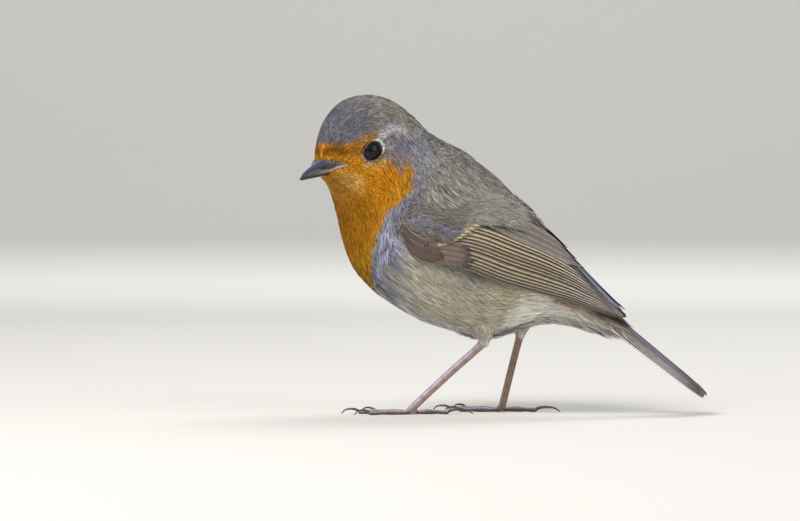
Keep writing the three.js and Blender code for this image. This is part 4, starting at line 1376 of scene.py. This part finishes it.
def makeWingSoft(side, word, material):
    # soft small coverts in front, and scapulars along the top
    surface = lambda place, share, swell=0.0: wingPoint(place, share, swell, side)
    wingMap = lambda p, q: (0.05 + 0.9 * p / wingTip, 0.05 + 0.9 * np.clip(q, 0, 1))
    for part, (count, places, shares, length, width, lay, lift, heights) in wingSoft.items():
        p, q = spreadRoots(count, places, surface, shares)
        height = q * wingHeight(p)
        keep = (height > heights[0] + heights[2] * p) & (height < heights[1])
        p, q = p[keep], q[keep]
        heading = lay + rng.normal(0, 0.1, len(p))
        length = length * rng.uniform(0.85, 1.15, len(p))
        alongPlace, alongShare, _, _ = localSteps(surface, p, q, heading)
        growTufts(f"wing_{word}_{part}", surface, (p, q), (length, width), heading, 0.2,
                  lift + rng.normal(0, 0.1, len(p)),
                  wingCoat(p + length * alongPlace, q + length * alongShare), "cover", wingMap,
                  material)


def makeWings(material, soft):
    for side, word in ((-1, "left"), (1, "right")):
        flight = [flightFeather(index, side) for index in range(len(wing["bright"]))]
        sheetsPiece(f"wing_{word}_flight", flight, material,
                    [f"wing_{word}_primaries", f"wing_{word}_secondaries"])
        sheetsPiece(f"wing_{word}_covers", coverSheets(side), material,
                    [f"wing_{word}_coverts"])
        makeWingInner(side, word, material)
        makeWingSoft(side, word, soft)


# tail

tail = {"baseX": 30.2, "baseZ": 24.5, "tipX": 53.4, "tipZ": 5.3, "baseHalf": 4.4,
        "tipHalf": 7.2, "pairs": 6, "length": 36,
        "stack": (0.5, 0.34, 0.17),  # drop from one pair to the next at base, middle, tip
        # the dark gap colour is painted shade under each pair above
        "brown": (92, 84, 82), "edge": (170, 165, 166), "gap": (34, 28, 30),
        # the top colour is a painted bluish sky sheen on the middle pair
        "top": (92, 90, 112), "outer": (210, 203, 194), "tipShade": 0.35}


def tailPoint(reach, across, lift):
    # base + axis reach + half width across to the side + lift square to the tail; reach goes
    # from 0 at the coverts' end to 1 at the tip, across from -1 to 1
    axis = np.array([tail["tipX"] - tail["baseX"], 0, tail["tipZ"] - tail["baseZ"]])
    upwards = unit(np.array([-axis[2], 0, axis[0]]))
    reach, across, lift = np.broadcast_arrays(reach, across, lift)
    half = tail["baseHalf"] + (tail["tipHalf"] - tail["baseHalf"]) * np.clip(reach, 0, 1) ** 0.8
    p = np.array([tail["baseX"] - lengthCentre, 0, tail["baseZ"]]) + axis * reach[..., None] \
        + upwards * lift[..., None]
    p[..., 1] = half * across
    return p


def tailFeather(pair, side):
    # Pairs lie in steps from the middle pair on top to the outermost below. Across a feather
    # w runs from the inner edge, -1, to the outer one, 1, which hangs down a little.
    edge, gap, outer = (linear(*tail[k]) for k in ("edge", "gap", "outer"))
    t = np.linspace(0, 1, 40)[:, None]
    w = np.array([-1, -0.6, -0.2, 0.2, 0.5, 0.72, 0.86, 0.95, 1.0])[None]
    reach = -0.22 + (1.215 - 0.012 * abs(pair - 3) + 0.012 * pair) * t
    reach = reach - 0.02 * (1 - w) * smooth(t, 0.85, 1)
    across = side * (0.13 + 0.118 * pair + 0.3 * w * tipOutline(t, 0.86, 0.142, 1.7))
    across = np.clip(across, -1.05, 1.05)
    drop = np.interp(t, [0, 0.5, 1], tail["stack"])
    lift = 1.35 - pair * drop - 0.32 * np.clip(w, 0, 1) ** 2 + 0.1 * (1 - w)
    lift = lift - 0.8 * np.abs(across) ** 3 * smooth(t, 0, 0.4) * (1 - 0.7 * t)
    points = tailPoint(reach, across, lift)
    pale = (0.4 * edge, 0.55 * edge, edge, edge, edge, outer)[pair]
    # painted sky sheen: the middle pair takes the bluish top colour
    tint = blend(linear(*tail["top" if pair == 0 else "brown"]), pale,
                 smooth(w, 0.78, 0.94) + 0 * t)
    # painted shade: each lower pair darkens away from its outer edge, where the pair above lies
    # over it
    if pair > 0:
        tint = blend(tint, gap, 0.8 * (1 - smooth(w, 0.3, 0.7)))
    tint = tint * (1 - tail["tipShade"] * smooth(t, 0.6, 0.88))[..., None]
    tint = blend(tint, edge, 0.5 * smooth(t, 0.975, 1.0))
    return points, tint, t + 0 * w, w + 0 * t, t * tail["length"] + 0 * w, 2.4 * w + 0 * t


def makeTail(material):
    sheets = [tailFeather(pair, side) for pair in range(tail["pairs"]) for side in (-1, 1)]
    sheetsPiece("tail_feathers", sheets, material, ["tail"], thick=0.09)


# legs and feet

# A toe's angle in degrees is from the foot's own line, positive inwards; the rest, its way
# aside at the root included, is in millimetres.
toes = {
    "inner": {"angle": 20, "aside": 1.8, "length": 8.6, "claw": 3.7, "radius": 0.72},
    "middle": {"angle": 1, "aside": 0, "length": 11.8, "claw": 4.2, "radius": 0.76},
    "outer": {"angle": -17, "aside": -1.8, "length": 9.0, "claw": 3.7, "radius": 0.72},
    "hind": {"angle": 180, "aside": 0, "length": 7.6, "claw": 6.2, "radius": 0.88},
}
# the dark colour paints the shanks' seams and the painted shade along their sides
foot = {"toeStart": 2.3, "soleAhead": 0.5, "darkSeamAndShade": (66, 48, 50), "toe": (92, 70, 64),
        # the toes' top colour is a painted lilac highlight
        "toeTopHighlight": (160, 146, 168), "claw": (72, 66, 72), "legScutes": 15,
        "clawTip": 0.12}


def alongCurve(points, count):
    # a smooth path through a few points, and two directions square to it at each of its points
    points = np.array(points, float)
    path = between(points, np.linspace(0, len(points) - 1, count))
    way = unit(np.gradient(path, axis=0))
    across = np.cross(np.array([0, 0, 1.0]), way)
    weak = np.linalg.norm(across, axis=-1, keepdims=True) < 0.05
    across = unit(np.where(weak, np.array([0, 1.0, 0]), across))
    return path, across, unit(np.cross(way, across))


def limbPiece(name, rings, tint, material, replaced):
    # a closed tube that stands on the floor: nothing goes under height 0
    rings[..., 2] = np.maximum(rings[..., 2], 0)
    rings[..., 0] -= lengthCentre
    tubePiece(name, rings, material, tint, [replaced])


def makeShank(word, leg, sole, material):
    # A tube from inside the thigh through the ankle to the sole, wider at both joints, with
    # grooves between scutes, a ridge in front, a painted highlight in front, a dark seam, and
    # painted shade along the sides and in the grooves.
    ankle, footAt, hip = (np.array(leg[k]) for k in ("ankle", "foot", "hip"))
    middle = (ankle + footAt) / 2 + np.array([0, 0, 0.15])
    knee = ankle + 3.5 * unit(hip - ankle)
    path, across, deepWay = alongCurve([knee, ankle, middle, footAt, sole], 130)
    u, turn = np.linspace(0, 1, len(path)), fullTurn(28)
    swell = 0.3 * np.exp(-((u - 0.25) / 0.045) ** 2) + 0.7 * smooth(u, 0.72, 0.98)
    scutes = np.abs(np.sin(np.pi * foot["legScutes"] * u)) ** 0.45
    groove = 1 - (0.02 + 0.05 * smooth(u, 0.5, 0.75)) * (1 - scutes)
    ridge = lambda s, f: (s * (1 - 0.3 * np.clip(f, 0, 1) ** 2), f)
    rings = tube(path, across, deepWay, (0.72 + swell) * groove, (1.0 + swell) * groove,
                 len(turn), ridge)
    forward = np.sin(turn)[None] * -np.sign(deepWay[len(path) // 2, 0] + 1e-9)
    # painted shade along the sides, a dark seam between front and back, and painted shade in the
    # grooves between scutes
    seamAndSideShade = 0.6 * np.exp(-((forward + 0.08) / 0.1) ** 2) + 0.7 * smooth(np.abs(forward), 0.8, 1)
    tint = blend(linear(*leg["rear"]), linear(*leg["front"]), smooth(forward, -0.15, 0.1))
    tint = blend(tint, linear(*foot["darkSeamAndShade"]), seamAndSideShade) * (0.65 + 0.35 * scutes)[:, None, None]
    tint = blend(tint, linear(*foot["toe"]), 0.8 * smooth(u, 0.7, 0.9)[:, None])
    limbPiece(f"leg_{word}", rings, tint, material, f"tarsus_{word}")


def alongFloor(root, heading, stations, count):
    # a path away from the root, through stations of a distance and a height
    return alongCurve([root + heading * far + np.array([0, 0, z]) for far, z in stations], count)


def makeToe(name, toe, root, heading, material):
    # a tube with joints, scutes across its top and a rounded end
    low, start = 0.62 * toe["radius"], foot["toeStart"]
    end = start + toe["length"]
    path, across, deepWay = alongFloor(
        root, heading, [(start - 1.9, low + 0.3), (start, low),
                        ((start + end) / 2, low + 0.12), (end, low * 0.82)], 84)
    u, turn = np.linspace(0, 1, len(path)), fullTurn(22)
    scutes = np.abs(np.sin(np.pi * round(toe["length"] * 1.25) * u)) ** 0.5
    joints = 1 + 0.2 * np.cos(2 * np.pi * (2.5 if toe["length"] > 10 else 2) * u)
    radius = 0.9 * toe["radius"] * (1 - 0.2 * u) * joints
    radius[-3:] *= np.array([0.93, 0.8, 0.55])
    radius = radius * (1 - 0.12 * (1 - scutes))
    rings = tube(path, across, deepWay, 0.92 * radius, radius, len(turn))
    # painted highlight on the top of each toe and painted shade in the creases between scutes
    over = np.sin(turn)[None] * np.sign(deepWay[len(path) // 2, 2])
    tint = blend(linear(*foot["toe"]), linear(*foot["toeTopHighlight"]), smooth(over, 0.1, 0.9))
    limbPiece(f"foot_{name}", rings, tint * (0.35 + 0.65 * scutes)[:, None, None], material,
              f"toe_{name}")


def makeClaw(name, toe, root, heading, material):
    # a narrowing tube that rises from the toe's end and comes down to the floor
    start, claw = foot["toeStart"] + toe["length"] - 0.5, toe["claw"]
    path, across, deepWay = alongFloor(
        root, heading, [(start, 0.75 * toe["radius"]), (start + 0.5 + 0.3 * claw, 1.3),
                        (start + 0.8 + 0.72 * claw, 1.15), (start + 0.8 + claw, 0.16)], 34)
    u = np.linspace(0, 1, len(path))
    radius = foot["clawTip"] + (0.6 * toe["radius"] - foot["clawTip"]) * (1 - u ** 0.8)
    rings = tube(path, across, deepWay, 0.7 * radius, radius, 16)
    shade = (1 - 0.45 * smooth(u, 0.1, 0.7))[:, None, None] + np.zeros((1, 16, 1))
    limbPiece(f"horn_{name}", rings, linear(*foot["claw"]) * shade, material,
              f"claw_{name}")


def makeLegs():
    scales = tintedMaterial("legScales", 0.38, 1500, 0.2, specular=0.5, coat=0.3,
                            coatRoughness=0.3)
    noiseBump(scales, 3000, 0.25, 0.00012)
    horn = tintedMaterial("clawHorn", 0.3, 900, 0.2, coat=0.4)
    for word, leg in legs.items():
        footAt = np.array(leg["foot"])
        sole = np.array([footAt[0] - foot["soleAhead"], footAt[1], -0.2])
        makeShank(word, leg, sole, scales)
        for toeName, toe in toes.items():
            angle = math.radians(180 - leg["side"] * (leg["toeOut"] - toe["angle"]))
            heading = np.array([math.cos(angle), math.sin(angle), 0])
            root = np.array([sole[0], footAt[1] - leg["side"] * toe["aside"], 0])
            makeToe(f"{word}_{toeName}", toe, root, heading, scales)
            makeClaw(f"{word}_{toeName}", toe, root, heading, horn)


# stage, light and camera

# the camera's angles in degrees and distance in metres, its frame in pixels, lamps in watts
studio = {"floor": (214, 212, 208), "azimuth": 8, "elevation": 2, "distance": 1.5,
          "pixelsPerMm": 3.75, "aimX": 502, "floorY": 413, "width": 800, "height": 521,
          "key": 7.4, "fill": 3.6, "rim": 4.4, "wall": 8, "air": 0.42}


def fromAngles(azimuth, elevation):  # direction from the bird towards a camera or a light
    a, e = math.radians(azimuth), math.radians(elevation)
    return np.array([math.sin(a) * math.cos(e), -math.cos(a) * math.cos(e), math.sin(e)])


def placeLooking(item, aim, back, distance):  # an object at a distance that looks at the aim
    z = unit(back)
    x = unit(np.cross([0, 0, 1.0], z))
    y = np.cross(z, x)
    matrix = np.eye(4)
    matrix[:3, 0], matrix[:3, 1], matrix[:3, 2], matrix[:3, 3] = x, y, z, aim + back * distance
    item.matrix_world = mathutils.Matrix(matrix.tolist())
    bpy.context.scene.collection.objects.link(item)


def makeStage():
    # a sheet that lies flat under the bird and bends up behind it along a quarter circle
    material = newMaterial("paleSheet", 0.9, specular=0.2)
    shader = material.node_tree.nodes["Principled BSDF"]
    shader.inputs["Base Color"].default_value = (*linear(*studio["floor"]), 1)
    back = fromAngles(studio["azimuth"], 0)
    right = np.cross([0, 0, 1.0], back)
    bend, far, tall, near = 700, 1500, 4000, 3200
    turn = np.linspace(0, np.pi / 2, 24)
    out = np.concatenate([[-near], far + bend * np.sin(turn), [far + bend]])
    rise = np.concatenate([[0], bend * (1 - np.cos(turn)), [tall]])
    across = np.array([-4500, 4500])
    points = out[:, None, None] * -back + across[None, :, None] * right \
        + rise[:, None, None] * np.array([0, 0, 1.0])
    mesh = bpy.data.meshes.new("studio_sheet")
    quads = gridFaces(len(out), 2)
    mesh.from_pydata((points.reshape(-1, 3) * mm).tolist(), [], quads[:, ::-1].tolist())
    mesh.polygons.foreach_set("use_smooth", [True] * len(mesh.polygons))
    mesh.materials.append(material)
    sheet = bpy.data.objects.new("studio_sheet", mesh)
    bpy.context.scene.collection.objects.link(sheet)


def areaLight(name, azimuth, elevation, distance, size, power, colour=(1, 1, 1),
              aim=(-0.005, 0, 0.045)):
    # a square lamp that looks at the aim, by default the bird's middle; metres and watts
    data = bpy.data.lights.new(name, "AREA")
    data.energy, data.size, data.color = power, size, colour
    placeLooking(bpy.data.objects.new(name, data), np.array(aim),
                 fromAngles(azimuth, elevation), distance)


def makeLights():
    # key from the left, fill from the right, rim from behind, a lamp on the wall, and soft air
    areaLight("keyLight", -35, 48, 0.9, 0.5, studio["key"], (1.0, 0.98, 0.95))
    areaLight("fillLight", 60, 25, 1.2, 0.9, studio["fill"], (0.97, 0.98, 1.0))
    areaLight("rimLight", 165, 50, 1.0, 0.5, studio["rim"])
    areaLight("wallLight", studio["azimuth"], 18, 1.3, 1.2, studio["wall"],
              aim=np.array([0, 0, 0.5]) - 2.1 * fromAngles(studio["azimuth"], 0))
    world = bpy.data.worlds.new("studioAir")
    world.use_nodes = True
    world.node_tree.nodes["Background"].inputs["Color"].default_value = (0.97, 0.98, 1, 1)
    world.node_tree.nodes["Background"].inputs["Strength"].default_value = studio["air"]
    bpy.context.scene.world = world
    bpy.context.scene.view_settings.view_transform = "Standard"


def makeCamera():
    # it looks along the azimuth from a little above and far away, so the view is nearly flat
    back = fromAngles(studio["azimuth"], studio["elevation"])
    right = np.cross([0, 0, 1.0], fromAngles(studio["azimuth"], 0))
    up = np.cross(back, right)
    scale = studio["pixelsPerMm"] / mm
    aim = np.array([-lengthCentre * mm, 0, 0]) \
        + right * (studio["width"] / 2 - studio["aimX"]) / scale \
        + up * (studio["floorY"] - studio["height"] / 2) / scale
    data = bpy.data.cameras.new("camera")
    data.sensor_width = 36
    data.lens = 36 * studio["distance"] / (studio["width"] / scale)
    data.clip_start, data.clip_end = 0.05, 20
    camera = bpy.data.objects.new("camera", data)
    placeLooking(camera, aim, back, studio["distance"])
    bpy.context.scene.camera = camera


makeStage()
makeLights()
makeCamera()
print("stage, light and camera ready")
softFeathers = tintedMaterial("softFeathers", 0.75, 2500, 0.1, specular=0.2)
firmFeathers = vaneMaterial("firmFeathers", 0.5, 0.22)
makeSkin()
makeEyes(softFeathers)
makeBill()
makeBristles(softFeathers)
print("skin, eyes and bill ready")
makeWings(firmFeathers, softFeathers)
makeTail(firmFeathers)
print("wings and tail ready")
makeLegs()
makeThighs(softFeathers)
print("legs ready")
makeCoat(softFeathers)
makeWisps(softFeathers)
print("coat ready")
